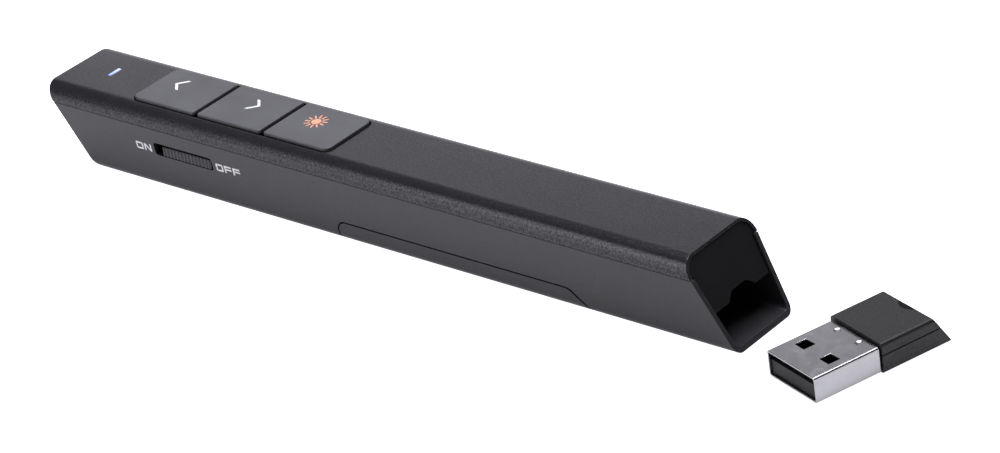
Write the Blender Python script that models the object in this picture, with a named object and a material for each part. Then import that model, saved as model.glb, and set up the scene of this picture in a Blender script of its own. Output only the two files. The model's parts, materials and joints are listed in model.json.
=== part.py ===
"""A wireless presenter with a laser pointer, and the plug-in receiver that stows in its rear end.

Sizes are in metres. X runs along the presenter, from the laser at the front to the receiver
bay at the rear. Y runs across it, with the power slider on the -Y side. Z is up. The origin
is on the flat underside, below the middle key. The receiver lies beside the presenter on the
same surface, turned by its own angle.
"""

import math

import bmesh
import bpy
from mathutils import Matrix, Vector

# Fits between pieces
TOUCH_GAP = 0.0002
RUNNING_GAP = 0.00025
SOLDER_GAP = 0.0001
OVERRUN = 0.002
MERGE_DISTANCE = 0.000001

# How finely round forms are drawn
ARC_STEPS = 6
TURN_STEPS = 24
SMALL_TURN_STEPS = 16
SMOOTH_ANGLE = math.radians(32)
MOST_FILLET_SHARE = 0.92

# Housing: both ends are cut by parallel planes that lean forward over the top
KEYPAD_SETBACK = 0.0412
KEYPAD_REACH = 0.0252
END_LEAN = math.radians(27.2)
PARTING_HEIGHT = 0.01251
COVER_DEPTH = 0.00316
BOTTOM_WIDTH = 0.01488
PARTING_WIDTH = 0.01748
TOP_WIDTH = 0.01717
TOP_FILLET = 0.0029
BOTTOM_FILLET = 0.00175
CASE_WALL = 0.0009
COVER_WALL = 0.0012
COVER_OVERHANG = 0.0001
FRONT_WALL = 0.0013
FOOT_RADIUS = 0.004
FOOT_SINK = 0.00001
INNER_FILLET = 0.0005
PARTING_GAP = 0.00015
LIP_WIDTH = 0.0006
LIP_STEP = 0.0001
LIP_DEPTH = 0.0009

# Receiver: a standard plug and the small housing behind it
PLUG_WIDTH = 0.012
PLUG_HEIGHT = 0.0045
PLUG_LENGTH = 0.0124
PLUG_LIFT = 0.00012
PLUG_WALL = 0.0003
PLUG_CORNER = 0.0004
PLUG_HOLE_LENGTH = 0.0022
PLUG_HOLE_WIDTH = 0.0023
PLUG_HOLE_SETBACK = 0.0052
PLUG_HOLE_OFFSET = 0.0031
DIMPLE_RADIUS = 0.0007
DIMPLE_DEPTH = 0.00015
DIMPLE_SETBACK = 0.0112
DIMPLE_OFFSET = 0.0027
TONGUE_SETBACK = 0.0004
TONGUE_LENGTH = 0.0086
TONGUE_THICKNESS = 0.0025
STUB_LENGTH = 0.0019
STUB_WIDTH = 0.009
STUB_HEIGHT = 0.0022
STUB_LIFT = 0.0011
CONTACT_STRIP_WIDTH = 0.001
CONTACT_STRIP_LENGTH = 0.0071
CONTACT_STRIP_THICKNESS = 0.00015
CONTACT_STRIP_SETBACK = 0.0012
INNER_STRIP_OFFSET = 0.001
OUTER_STRIP_OFFSET = 0.0035
RECEIVER_WIDTH = 0.0128
RECEIVER_HEIGHT = 0.00525
RECEIVER_LENGTH = 0.0134
RECEIVER_LEAN = math.radians(31.5)
RECEIVER_WALL = 0.0009
RECEIVER_SEAM = 0.0032
RECEIVER_TOP_FILLET = 0.0006
RECEIVER_BOTTOM_FILLET = 0.0005
NOTCH_WIDTH = 0.0041
NOTCH_REACH = 0.00115
NOTCH_TILT = math.radians(20)
RECEIVER_BOARD_LENGTH = 0.0076
RECEIVER_BOARD_WIDTH = 0.0104
RECEIVER_BOARD_THICKNESS = 0.0008
RECEIVER_RAIL_HEIGHT = 0.0007
RECEIVER_RAIL_WIDTH = 0.0008
RECEIVER_CHIP_SIDE = 0.0036
RECEIVER_CHIP_SETBACK = 0.0025
RECEIVER_CHIP_HEIGHT = 0.0007
RECEIVER_CRYSTAL_LENGTH = 0.0032
RECEIVER_CRYSTAL_WIDTH = 0.0022
RECEIVER_CRYSTAL_HEIGHT = 0.0006
RECEIVER_TURN = math.radians(72.9)
RECEIVER_AWAY = 0.0199
RECEIVER_ASIDE = -0.01148

# Receiver bay in the presenter's rear end, with the plate that closes the end above it
BAY_END_GAP = 0.0004
BAY_HEADROOM = 0.00045
BAY_ROOF = 0.001
RIM_WALL = 0.0004
PLATE_RECESS = 0.0003
PLATE_THICKNESS = 0.0012
ARCH_WIDTH = 0.0072
ARCH_TOP_WIDTH = 0.0036
ARCH_RISE = 0.00125
ARCH_CORNER = 0.0018
ARCH_REACH = 0.0035

# Battery compartment and its door
CELL_LENGTH = 0.0445
CELL_RADIUS = 0.00525
CELL_EDGE = 0.0003
CELL_LIFT = 0.0004
NUB_RADIUS = 0.0019
NUB_LENGTH = 0.0009
SPRING_LENGTH = 0.007
SPRING_RADIUS = 0.003
SPRING_END_RADIUS = 0.0021
SPRING_WIRE_RADIUS = 0.00025
SPRING_TURNS = 5
POINTS_PER_TURN = 10
CONTACT_PLATE_SIDE = 0.008
CONTACT_PLATE_THICKNESS = 0.0004
CONTACT_BOSS_RADIUS = 0.0022
CONTACT_BOSS_HEIGHT = 0.0004
PARTITION = 0.0012
PARTITION_DROP = 0.0019
RIB_THICKNESS = 0.001
RIB_COUNT = 3
DOOR_MARGIN = 0.0005
DOOR_RISE = 0.00375
DOOR_CORNER = 0.0018
DOOR_RAMP = 0.0047
DOOR_RAMP_CORNER = 0.0022
DOOR_GAP = 0.00025
GRIP_COUNT = 5
GRIP_PITCH = 0.0011
GRIP_WIDTH = 0.0005
GRIP_LENGTH = 0.007
GRIP_DEPTH = 0.0002
GRIP_SETBACK = 0.004
LEAD_RADIUS = 0.00035

# Keys, their switches and the circuit board that carries them
KEYS = ("page_up", "page_down", "laser")
KEY_PITCH = 0.0158
KEY_GAP = 0.0009
KEY_SIDE_REACH = 0.00016
KEY_PROUD = 0.0005
KEY_CORNER = 0.0014
KEY_INNER_CORNER = 0.0005
KEY_EDGE = 0.00025
KEY_TOP_WALL = 0.0011
KEY_SIDE_WALL = 0.0009
WINDOW_GAP = 0.0003
FLANGE_THICKNESS = 0.0006
PLUNGER_RADIUS = 0.0016
PLUNGER_REACH = 0.0002
SWITCH_SIDE = 0.006
SWITCH_HEIGHT = 0.0016
SWITCH_FLOOR = 0.0003
STEM_RADIUS = 0.0016
STEM_PROUD = 0.0009
STEM_DEPTH = 0.0007
BOARD_THICKNESS = 0.001
BOARD_SIDE_GAP = 0.0005
BOARD_END_GAP = 0.0006
BOARD_CORNER = 0.0008
POST_RADIUS = 0.0018
PILOT_RADIUS = 0.00075
PILOT_DEPTH = 0.005
SCREW_SHANK_RADIUS = 0.0006
SCREW_HOLE_RADIUS = 0.0009
SCREW_SHANK_LENGTH = 0.0045
SCREW_HEAD_RADIUS = 0.0015
SCREW_HEAD_HEIGHT = 0.0009
SCREW_DRIVE_RADIUS = 0.0006
SCREW_DRIVE_DEPTH = 0.0004
CHIP_SIDE = 0.004
CHIP_HEIGHT = 0.0008
CRYSTAL_LENGTH = 0.005
CRYSTAL_WIDTH = 0.0032
CRYSTAL_HEIGHT = 0.0011
CRYSTAL_CORNER = 0.0008
COIL_RADIUS = 0.0021
COIL_CORE_RADIUS = 0.0014
COIL_HEIGHT = 0.0022
COIL_CHEEK = 0.0005
PART_ROW_SPACING = 0.0062
PART_ROW_OFFSET = 0.0035

# Status light
LIGHT_SETBACK = 0.0073
LIGHT_ASIDE = 0.0004
LIGHT_LENGTH = 0.0028
LIGHT_WIDTH = 0.0007
LIGHT_GAP = 0.0001
PIPE_COLLAR = 0.0006
LED_LENGTH = 0.0016
LED_WIDTH = 0.0008
LED_HEIGHT = 0.0006

# Power slider in the -Y wall and the slide switch that it moves
SLIDER_FORWARD = 0.01015
SLIDER_TRAVEL = 0.0015
PAD_LENGTH = 0.0121
PAD_HEIGHT = 0.002
PAD_RECESS = 0.00025
SLOT_GAP = 0.00025
SLOT_CORNER = 0.0006
RIDGE_COUNT = 14
RIDGE_DEPTH = 0.00015
SLIDER_FLANGE_HEIGHT = 0.0038
SLIDER_FLANGE_THICKNESS = 0.0006
EAR_THICKNESS = 0.0008
EAR_HEIGHT = 0.0016
EAR_REACH = 0.0011
SLIDE_BODY_LENGTH = 0.009
SLIDE_BODY_DEPTH = 0.0026
SLIDE_BODY_HEIGHT = 0.0025
LEVER_WIDTH = 0.0012
LEVER_HEIGHT = 0.001
LEVER_ROOT = 0.0012

# Laser module behind the front end
BARREL_LENGTH = 0.012
BARREL_RADIUS = 0.003
BARREL_BORE = 0.0022
APERTURE_RADIUS = 0.0021
WINDOW_THICKNESS = 0.0008
WINDOW_RECESS = 0.0003
LENS_RADIUS = 0.002
LENS_EDGE = 0.0008
LENS_BULGE = 0.0004
LENS_SETBACK = 0.001
DIODE_CAN_RADIUS = 0.0019
DIODE_CAN_LENGTH = 0.0024
DIODE_BASE_RADIUS = 0.0028
DIODE_BASE_THICKNESS = 0.001
CRADLE_THICKNESS = 0.0012
CRADLE_WIDTH = 0.0082
CRADLE_END_SHARE = 0.2
LASER_LEAD_RADIUS = 0.0003
LASER_LEAD_OFFSET = 0.001
LASER_LEAD_RUN = 0.0022

# Colours
PLASTIC = (0.035, 0.036, 0.04)
DARK_PLASTIC = (0.012, 0.012, 0.014)
KEY_PLASTIC = (0.08, 0.083, 0.09)
STEEL = (0.62, 0.62, 0.63)
GOLD = (0.83, 0.6, 0.25)
BRASS = (0.6, 0.43, 0.2)
BOARD_GREEN = (0.02, 0.12, 0.05)
CHIP_BLACK = (0.015, 0.015, 0.017)
WIRE_RED = (0.5, 0.02, 0.02)
WIRE_BLACK = (0.02, 0.02, 0.02)
CELL_JACKET = (0.1, 0.11, 0.13)
LED_RESIN = (0.8, 0.8, 0.7)
LIT_PIPE = (0.45, 0.6, 0.95)
WINDOW_TINT = (0.35, 0.04, 0.05)
LENS_CLEAR = (0.9, 0.9, 0.92)

# Heights and stations that follow from the sizes above
CASE_HEIGHT = PARTING_HEIGHT + COVER_DEPTH
END_SLOPE = math.tan(END_LEAN)
FRONT_X = -KEYPAD_SETBACK
COVER_FLARE = (TOP_WIDTH - PARTING_WIDTH) / 2 - COVER_OVERHANG
COVER_CORNER = math.pi / 2 - math.atan2(COVER_FLARE, COVER_DEPTH)
MOST_FILLET = math.hypot(COVER_FLARE, COVER_DEPTH) * math.tan(COVER_CORNER / 2) * MOST_FILLET_SHARE
ROUND_TOP = min(TOP_FILLET, MOST_FILLET)
COVER_SIDE_WALL = COVER_OVERHANG + CASE_WALL + TOUCH_GAP + LIP_WIDTH + LIP_STEP
CAVITY_TOP = CASE_HEIGHT - COVER_WALL

FLANGE_TOP = CAVITY_TOP - TOUCH_GAP
FLANGE_BOTTOM = FLANGE_TOP - FLANGE_THICKNESS
KEY_TOP = CASE_HEIGHT + KEY_PROUD
PLUNGER_BOTTOM = FLANGE_BOTTOM - PLUNGER_REACH
STEM_TOP = PLUNGER_BOTTOM - TOUCH_GAP
SWITCH_TOP = STEM_TOP - STEM_PROUD
BOARD_TOP = SWITCH_TOP - SWITCH_HEIGHT - SOLDER_GAP
BOARD_BOTTOM = BOARD_TOP - BOARD_THICKNESS
SLIDER_HEIGHT = BOARD_BOTTOM - SOLDER_GAP - SLIDE_BODY_HEIGHT / 2

FRONT_PARTITION_X = KEYPAD_REACH
FRONT_CONTACT_X = FRONT_PARTITION_X + PARTITION + TOUCH_GAP
SPRING_FRONT_X = FRONT_CONTACT_X + CONTACT_PLATE_THICKNESS + TOUCH_GAP
CELL_FRONT_X = SPRING_FRONT_X + SPRING_LENGTH + TOUCH_GAP
CELL_REAR_X = CELL_FRONT_X + CELL_LENGTH
REAR_CONTACT_X = CELL_REAR_X + TOUCH_GAP + CONTACT_BOSS_HEIGHT
REAR_PARTITION_X = REAR_CONTACT_X + CONTACT_PLATE_THICKNESS + TOUCH_GAP
CELL_HEIGHT = CASE_WALL + CELL_LIFT + CELL_RADIUS
PARTITION_TOP = PARTING_HEIGHT - LIP_DEPTH - PARTITION_DROP

BAY_CEILING = CASE_WALL + RECEIVER_HEIGHT + BAY_HEADROOM
RECEIVER_FRONT = PLUG_LENGTH + TOUCH_GAP
RECEIVER_REAR = RECEIVER_FRONT + RECEIVER_LENGTH
BAY_INNER_X = REAR_PARTITION_X + PARTITION
BAY_MOUTH_X = BAY_INNER_X + RECEIVER_REAR + BAY_END_GAP
REAR_X = BAY_MOUTH_X - END_SLOPE * (PARTING_HEIGHT - CASE_WALL)
BOARD_FRONT_X = FRONT_X + FRONT_WALL + END_SLOPE * (PARTING_HEIGHT - BOARD_BOTTOM) + BOARD_END_GAP
BOARD_REAR_X = FRONT_PARTITION_X - BOARD_END_GAP
LASER_HEIGHT = (CASE_WALL + BOARD_BOTTOM) / 2
LIGHT_X = FRONT_X + LIGHT_SETBACK
WINDOW_RADIUS = APERTURE_RADIUS - SOLDER_GAP


def placed(name, form, location=(0, 0, 0), rotation=(0, 0, 0)):
    """Turns a bmesh into a named object with its faces pointing out."""
    bmesh.ops.recalc_face_normals(form, faces=form.faces)
    mesh = bpy.data.meshes.new(name)
    form.to_mesh(mesh)
    form.free()
    piece = bpy.data.objects.new(name, mesh)
    piece.location = location
    piece.rotation_euler = rotation
    bpy.context.scene.collection.objects.link(piece)
    return piece


def rounded(corners):
    """The points of a closed outline through (u, v, radius) corners, each turned by an arc."""
    points = []
    for index, (u, v, radius) in enumerate(corners):
        corner = Vector((u, v))
        if not radius:
            points.append(corner)
            continue
        before = (Vector(corners[index - 1][:2]) - corner).normalized()
        after = (Vector(corners[(index + 1) % len(corners)][:2]) - corner).normalized()
        half = before.angle(after) / 2
        centre = corner + (before + after).normalized() * (radius / math.sin(half))
        first = corner + before * (radius / math.tan(half)) - centre
        last = corner + after * (radius / math.tan(half)) - centre
        for step in range(ARC_STEPS + 1):
            spoke = first.normalized().slerp(last.normalized(), step / ARC_STEPS)
            points.append(centre + spoke * radius)
    return points


def rectangle(width, height, radius=0, middle=(0, 0)):
    u, v = middle
    return rounded([
        (u - width / 2, v - height / 2, radius),
        (u + width / 2, v - height / 2, radius),
        (u + width / 2, v + height / 2, radius),
        (u - width / 2, v + height / 2, radius),
    ])


def swept(name, starts, end_of):
    """A solid from one closed ring of places to its copy, each point moved by end_of."""
    form = bmesh.new()
    face = form.faces.new([form.verts.new(place) for place in starts])
    grown = bmesh.ops.extrude_face_region(form, geom=[face])["geom"]
    for item in grown:
        if isinstance(item, bmesh.types.BMVert):
            item.co = end_of(item.co)
    return placed(name, form)


def along_x(name, outline, front, rear):
    """Extrudes an outline of (y, z) points. Each end is a station, or a function of height."""
    front_at = front if callable(front) else lambda z: front
    rear_at = rear if callable(rear) else lambda z: rear
    starts = [(front_at(z), y, z) for y, z in outline]
    return swept(name, starts, lambda co: (rear_at(co.z), co.y, co.z))


def along_y(name, outline, low, high):
    return swept(name, [(x, low, z) for x, z in outline], lambda co: (co.x, high, co.z))


def along_z(name, outline, low, high):
    return swept(name, [(x, y, low) for x, y in outline], lambda co: (co.x, co.y, high))


def block(name, low, high):
    """A box between two opposite corners, its origin at its middle."""
    low, high = Vector(low), Vector(high)
    form = bmesh.new()
    bmesh.ops.create_cube(form, size=1, matrix=Matrix.Diagonal((*(high - low), 1)))
    return placed(name, form, (low + high) / 2)


def turned(name, profile, location=(0, 0, 0), rotation=(0, 0, 0), steps=TURN_STEPS, closed=False):
    """Spins a profile of (radius, height) points round Z. A closed profile makes a tube."""
    form = bmesh.new()
    verts = [form.verts.new((radius, 0, height)) for radius, height in profile]
    ends = zip(verts, verts[1:] + verts[:1]) if closed else zip(verts, verts[1:])
    edges = [form.edges.new(pair) for pair in ends]
    bmesh.ops.spin(
        form, geom=verts + edges, axis=(0, 0, 1), cent=(0, 0, 0), angle=math.tau, steps=steps
    )
    bmesh.ops.remove_doubles(form, verts=form.verts, dist=MERGE_DISTANCE)
    return placed(name, form, location, rotation)


def rod(name, radius, low, high, location=(0, 0, 0), rotation=(0, 0, 0), steps=TURN_STEPS):
    """A plain cylinder between two heights on its own axis."""
    profile = [(0, low), (radius, low), (radius, high), (0, high)]
    return turned(name, profile, location, rotation, steps)


def combine(target, tools, operation):
    """Runs one Boolean after another on the target and removes the tools."""
    for tool in tools:
        modifier = target.modifiers.new(operation.title(), "BOOLEAN")
        modifier.operation = operation
        modifier.object = tool
        graph = bpy.context.evaluated_depsgraph_get()
        graph.update()
        shaped = bpy.data.meshes.new_from_object(target.evaluated_get(graph))
        target.modifiers.clear()
        target.data = shaped
        bpy.data.objects.remove(tool)
    return target


def cut(target, *tools):
    return combine(target, tools, "DIFFERENCE")


def join(target, *tools):
    return combine(target, tools, "UNION")


def soften(piece, width, chosen, segments=2):
    """Bevels the edges whose two ends both satisfy chosen."""
    form = bmesh.new()
    form.from_mesh(piece.data)
    edges = [edge for edge in form.edges if all(chosen(vert.co) for vert in edge.verts)]
    bmesh.ops.bevel(form, geom=edges, offset=width, segments=segments, affect="EDGES", profile=0.5)
    form.to_mesh(piece.data)
    form.free()
    return piece


def finish(piece, colour, roughness, metallic=0, alpha=1):
    """Gives a piece its own material, and smooth shading between its sharp edges."""
    material = bpy.data.materials.new(piece.name)
    material.use_nodes = True
    shader = material.node_tree.nodes["Principled BSDF"]
    shader.inputs["Base Color"].default_value = (*colour, 1)
    shader.inputs["Roughness"].default_value = roughness
    shader.inputs["Metallic"].default_value = metallic
    shader.inputs["Alpha"].default_value = alpha
    piece.data.materials.clear()
    piece.data.materials.append(material)
    if piece.type == "MESH":
        piece.data.shade_smooth()
        piece.data.set_sharp_from_angle(angle=SMOOTH_ANGLE)
    return piece


def move_origin(piece, point):
    """Puts a piece's origin at a point, with its shape left where it is."""
    shift = Vector(point) - piece.location
    piece.data.transform(Matrix.Translation(-shift))
    piece.location = point
    return piece


def seat(name, location, rotation, pieces):
    """Parents finished pieces to an empty that stands where they belong."""
    holder = bpy.data.objects.new(name, None)
    holder.location = location
    holder.rotation_euler = rotation
    bpy.context.scene.collection.objects.link(holder)
    for piece in pieces:
        piece.parent = holder
    return holder


def tube(name, points, radius, kind="BEZIER"):
    """A wire along a curve through the points."""
    curve = bpy.data.curves.new(name, "CURVE")
    curve.dimensions = "3D"
    curve.bevel_depth = radius
    curve.bevel_resolution = 1
    curve.resolution_u = 6
    curve.use_fill_caps = True
    spline = curve.splines.new(kind)
    if kind == "BEZIER":
        spline.bezier_points.add(len(points) - 1)
        for knot, place in zip(spline.bezier_points, points):
            knot.co = place
            knot.handle_left_type = "AUTO"
            knot.handle_right_type = "AUTO"
    else:
        spline.points.add(len(points) - 1)
        for knot, place in zip(spline.points, points):
            knot.co = (*place, 1)
    wire = bpy.data.objects.new(name, curve)
    bpy.context.scene.collection.objects.link(wire)
    return wire


def end_plane(station):
    """The plane parallel to the ends that crosses the parting line at a station."""
    return lambda z: station + END_SLOPE * (PARTING_HEIGHT - z)


def side_at(height):
    """Half the lower case's outer width at a height."""
    return (BOTTOM_WIDTH + (PARTING_WIDTH - BOTTOM_WIDTH) * height / PARTING_HEIGHT) / 2


def case_section(inset, top):
    """The lower case's outline across its length, this far in from its outside."""
    fillet = max(BOTTOM_FILLET - inset, INNER_FILLET)
    low, high = side_at(inset) - inset, side_at(top) - inset
    return rounded([(-high, top, 0), (-low, inset, fillet), (low, inset, fillet), (high, top, 0)])


def cover_section(inset_top, inset_side, fillet, bottom):
    """The top cover's outline across its length, this far in from its top and sides."""
    low = PARTING_WIDTH / 2 + COVER_OVERHANG - inset_side
    high = TOP_WIDTH / 2 - inset_side
    top = CASE_HEIGHT - inset_top
    return rounded([(-low, bottom, 0), (-high, top, fillet), (high, top, fillet), (low, bottom, 0)])


def door_outline(grow):
    """The battery door seen from the side, its edges moved out by grow."""
    front = FRONT_PARTITION_X - DOOR_MARGIN - grow
    rear = REAR_PARTITION_X - DOOR_MARGIN + grow
    top = DOOR_RISE + grow
    ramp_end = rear + DOOR_RAMP / DOOR_RISE * OVERRUN
    return rounded([
        (front, -OVERRUN, 0),
        (front, top, DOOR_CORNER + grow),
        (rear - DOOR_RAMP, top, DOOR_RAMP_CORNER),
        (ramp_end, -OVERRUN, 0),
    ])


def inner_half_width(height):
    return side_at(height) - CASE_WALL


def partition(name, front_x, bottom):
    """A wall across the case at one end of the cell, narrowed where it passes inside the door."""
    ledge = DOOR_RISE + DOOR_GAP + TOUCH_GAP
    inner = side_at(CASE_WALL) - CASE_WALL - BOTTOM_FILLET / 2
    low, high = inner_half_width(ledge) - TOUCH_GAP, inner_half_width(PARTITION_TOP)
    sunk = CASE_WALL / 2
    outline = [
        (-inner, bottom), (inner, bottom), (low, ledge), (side_at(ledge) - sunk, ledge),
        (high + sunk, PARTITION_TOP), (-high - sunk, PARTITION_TOP),
        (sunk - side_at(ledge), ledge), (-low, ledge),
    ]
    return along_x(name, outline, front_x, front_x + PARTITION)


def front_foot():
    """The cutter that rounds the corner between the underside and the front end, seen from the side."""
    corner_x, reach = end_plane(FRONT_X)(0), 2 * FOOT_RADIUS
    foot = along_y(
        "foot",
        rounded([
            (corner_x - END_SLOPE * reach, reach, 0),
            (corner_x, 0, FOOT_RADIUS),
            (corner_x + reach, 0, 0),
            (corner_x + reach, -OVERRUN, 0),
            (corner_x - reach, -OVERRUN, 0),
            (corner_x - reach, reach, 0),
        ]),
        -PARTING_WIDTH,
        PARTING_WIDTH,
    )
    foot.location = (-FOOT_SINK, 0, -FOOT_SINK)
    return foot


def make_bottom_case():
    """The lower shell: slanted ends, laser aperture, slider slot, door cut-out, ribs and posts."""
    top = PARTING_HEIGHT - PARTING_GAP / 2
    case = along_x("bottom_case", case_section(0, top), end_plane(FRONT_X), end_plane(REAR_X))
    cut(case, front_foot())
    hollow = along_x(
        "hollow",
        case_section(CASE_WALL, top + OVERRUN),
        end_plane(FRONT_X + FRONT_WALL),
        end_plane(REAR_X + OVERRUN),
    )
    cut(case, hollow)

    ledge = DOOR_RISE + DOOR_GAP + TOUCH_GAP
    rear_wall = partition("rear_wall", REAR_PARTITION_X, CASE_WALL / 2)
    front_wall = partition("front_wall", FRONT_PARTITION_X, CASE_WALL + RUNNING_GAP)
    ribs = []
    for index in range(RIB_COUNT):
        x = CELL_FRONT_X + CELL_LENGTH * (index + 1) / (RIB_COUNT + 1)
        for side in (-1, 1):
            inner, outer = CELL_RADIUS + TOUCH_GAP, side_at(ledge) - CASE_WALL / 2
            ribs.append(along_x(
                "rib",
                [
                    (side * inner, ledge),
                    (side * outer, ledge),
                    (side * outer, CELL_HEIGHT + CELL_RADIUS / 2),
                    (side * inner, CELL_HEIGHT),
                ],
                x - RIB_THICKNESS / 2,
                x + RIB_THICKNESS / 2,
            ))
    post_top = BOARD_BOTTOM - TOUCH_GAP
    post_profile = [
        (0, CASE_WALL / 2), (POST_RADIUS, CASE_WALL / 2), (POST_RADIUS, post_top),
        (PILOT_RADIUS, post_top), (PILOT_RADIUS, post_top - PILOT_DEPTH), (0, post_top - PILOT_DEPTH),
    ]
    posts = [
        turned("post", post_profile, (x, 0, 0), steps=SMALL_TURN_STEPS)
        for x in (-KEY_PITCH / 2, KEY_PITCH / 2)
    ]
    cradles = []
    for x in cradle_stations():
        cradles.append(block(
            "cradle",
            (x - CRADLE_THICKNESS / 2, -CRADLE_WIDTH / 2, CASE_WALL / 2),
            (x + CRADLE_THICKNESS / 2, CRADLE_WIDTH / 2, LASER_HEIGHT - BARREL_RADIUS / 8),
        ))
    join(case, rear_wall, front_wall, *ribs, *posts, *cradles)

    barrel_room = rod(
        "barrel_room", BARREL_RADIUS + TOUCH_GAP, -TOUCH_GAP, BARREL_LENGTH + OVERRUN,
        (barrel_front_x(), 0, LASER_HEIGHT), (0, math.pi / 2, 0),
    )
    aperture = rod(
        "aperture", APERTURE_RADIUS, FRONT_X - OVERRUN, barrel_front_x(),
        (0, 0, LASER_HEIGHT), (0, math.pi / 2, 0),
    )
    door_gap = along_y("door_gap", door_outline(DOOR_GAP), -PARTING_WIDTH, PARTING_WIDTH)
    cut(case, barrel_room, aperture, door_gap, slider_slot())
    return finish(case, PLASTIC, 0.55)


def make_top_cover():
    """The upper shell: rounded long edges, key window, light slot and locating lips."""
    bottom = PARTING_HEIGHT + PARTING_GAP / 2
    cover = along_x(
        "top_cover", cover_section(0, 0, ROUND_TOP, bottom), end_plane(FRONT_X), end_plane(REAR_X)
    )
    hollow = along_x(
        "hollow",
        cover_section(COVER_WALL, COVER_SIDE_WALL, INNER_FILLET, bottom - OVERRUN),
        end_plane(FRONT_X + FRONT_WALL),
        end_plane(REAR_X + OVERRUN),
    )
    rebate_x = REAR_X - PLATE_RECESS - PLATE_THICKNESS - TOUCH_GAP
    rebate = along_x(
        "rebate",
        cover_section(RIM_WALL, RIM_WALL + COVER_OVERHANG, ROUND_TOP - RIM_WALL, bottom - OVERRUN),
        end_plane(rebate_x),
        end_plane(REAR_X + OVERRUN),
    )
    cut(cover, hollow, rebate)

    lip_bottom = PARTING_HEIGHT - LIP_DEPTH
    lips = []
    for side in (-1, 1):
        outer_low = side * (inner_half_width(lip_bottom) - TOUCH_GAP)
        outer_high = side * (inner_half_width(PARTING_HEIGHT) - TOUCH_GAP)
        lips.append(along_x(
            "lip",
            [
                (outer_low - side * LIP_WIDTH, lip_bottom),
                (outer_low, lip_bottom),
                (outer_high, bottom + LIP_WIDTH),
                (outer_high - side * LIP_WIDTH, bottom + LIP_WIDTH),
            ],
            end_plane(FRONT_X + FRONT_WALL + TOUCH_GAP),
            end_plane(rebate_x - TOUCH_GAP),
        ))
    join(cover, *lips)

    window = along_z(
        "window",
        rectangle(
            KEY_PITCH * len(KEYS) - KEY_GAP + 2 * WINDOW_GAP,
            key_width() + 2 * WINDOW_GAP,
            KEY_CORNER + WINDOW_GAP,
        ),
        CAVITY_TOP - TOUCH_GAP,
        CASE_HEIGHT + OVERRUN,
    )
    slot_x, slot_y = LIGHT_WIDTH / 2 + LIGHT_GAP, LIGHT_LENGTH / 2 + LIGHT_GAP
    light_slot = block(
        "light_slot",
        (LIGHT_X - slot_x, LIGHT_ASIDE - slot_y, CAVITY_TOP - TOUCH_GAP),
        (LIGHT_X + slot_x, LIGHT_ASIDE + slot_y, CASE_HEIGHT + OVERRUN),
    )
    cut(cover, window, light_slot)
    return finish(cover, PLASTIC, 0.5)


def make_rear_plate():
    """The plate that fills the cover's end above the receiver bay, its roof and the finger arch."""
    inset = RIM_WALL + TOUCH_GAP
    top = CASE_HEIGHT - inset
    low = inner_half_width(BAY_CEILING) - TOUCH_GAP
    middle = inner_half_width(PARTING_HEIGHT) - TOUCH_GAP
    shoulder = PARTING_WIDTH / 2 - inset
    ledge = PARTING_HEIGHT + PARTING_GAP / 2
    high = TOP_WIDTH / 2 - inset
    fillet = ROUND_TOP - inset
    outline = rounded([
        (-low, BAY_CEILING, 0), (-middle, ledge, 0), (-shoulder, ledge, 0), (-high, top, fillet),
        (high, top, fillet), (shoulder, ledge, 0), (middle, ledge, 0), (low, BAY_CEILING, 0),
    ])
    rear = REAR_X - PLATE_RECESS
    plate = along_x("rear_plate", outline, end_plane(rear - PLATE_THICKNESS), end_plane(rear))
    roof = along_x(
        "roof",
        rectangle(2 * low, BAY_ROOF, middle=(0, BAY_CEILING + BAY_ROOF / 2)),
        BAY_INNER_X + TOUCH_GAP,
        end_plane(rear - PLATE_THICKNESS / 2),
    )
    arch = along_x(
        "arch",
        rounded([
            (-ARCH_WIDTH / 2, BAY_CEILING - OVERRUN, 0),
            (-ARCH_WIDTH / 2, BAY_CEILING, ARCH_CORNER),
            (-ARCH_TOP_WIDTH / 2, BAY_CEILING + ARCH_RISE, ARCH_CORNER),
            (ARCH_TOP_WIDTH / 2, BAY_CEILING + ARCH_RISE, ARCH_CORNER),
            (ARCH_WIDTH / 2, BAY_CEILING, ARCH_CORNER),
            (ARCH_WIDTH / 2, BAY_CEILING - OVERRUN, 0),
        ]),
        end_plane(rear - ARCH_REACH),
        end_plane(rear + OVERRUN),
    )
    cut(join(plate, roof), arch)
    return finish(plate, DARK_PLASTIC, 0.5)


def make_battery_door():
    """The door that wraps the underside and both sides, cut from the lower case's own outline."""
    door = along_y("battery_door", door_outline(0), -PARTING_WIDTH, PARTING_WIDTH)
    front, rear = FRONT_X, REAR_X
    outside = along_x("outside", case_section(0, PARTING_HEIGHT), front, rear)
    inside = along_x("inside", case_section(CASE_WALL, PARTING_HEIGHT + OVERRUN), front - OVERRUN, rear)
    combine(door, [outside], "INTERSECT")
    cut(door, inside)
    grips = []
    for index in range(GRIP_COUNT):
        x = FRONT_PARTITION_X + GRIP_SETBACK + GRIP_PITCH * index
        grips.append(block(
            "grip",
            (x - GRIP_WIDTH / 2, -GRIP_LENGTH / 2, -OVERRUN),
            (x + GRIP_WIDTH / 2, GRIP_LENGTH / 2, GRIP_DEPTH),
        ))
    cut(door, *grips)
    middle_x = (FRONT_PARTITION_X + REAR_PARTITION_X) / 2
    return move_origin(finish(door, PLASTIC, 0.55), (middle_x, 0, 0))


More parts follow.
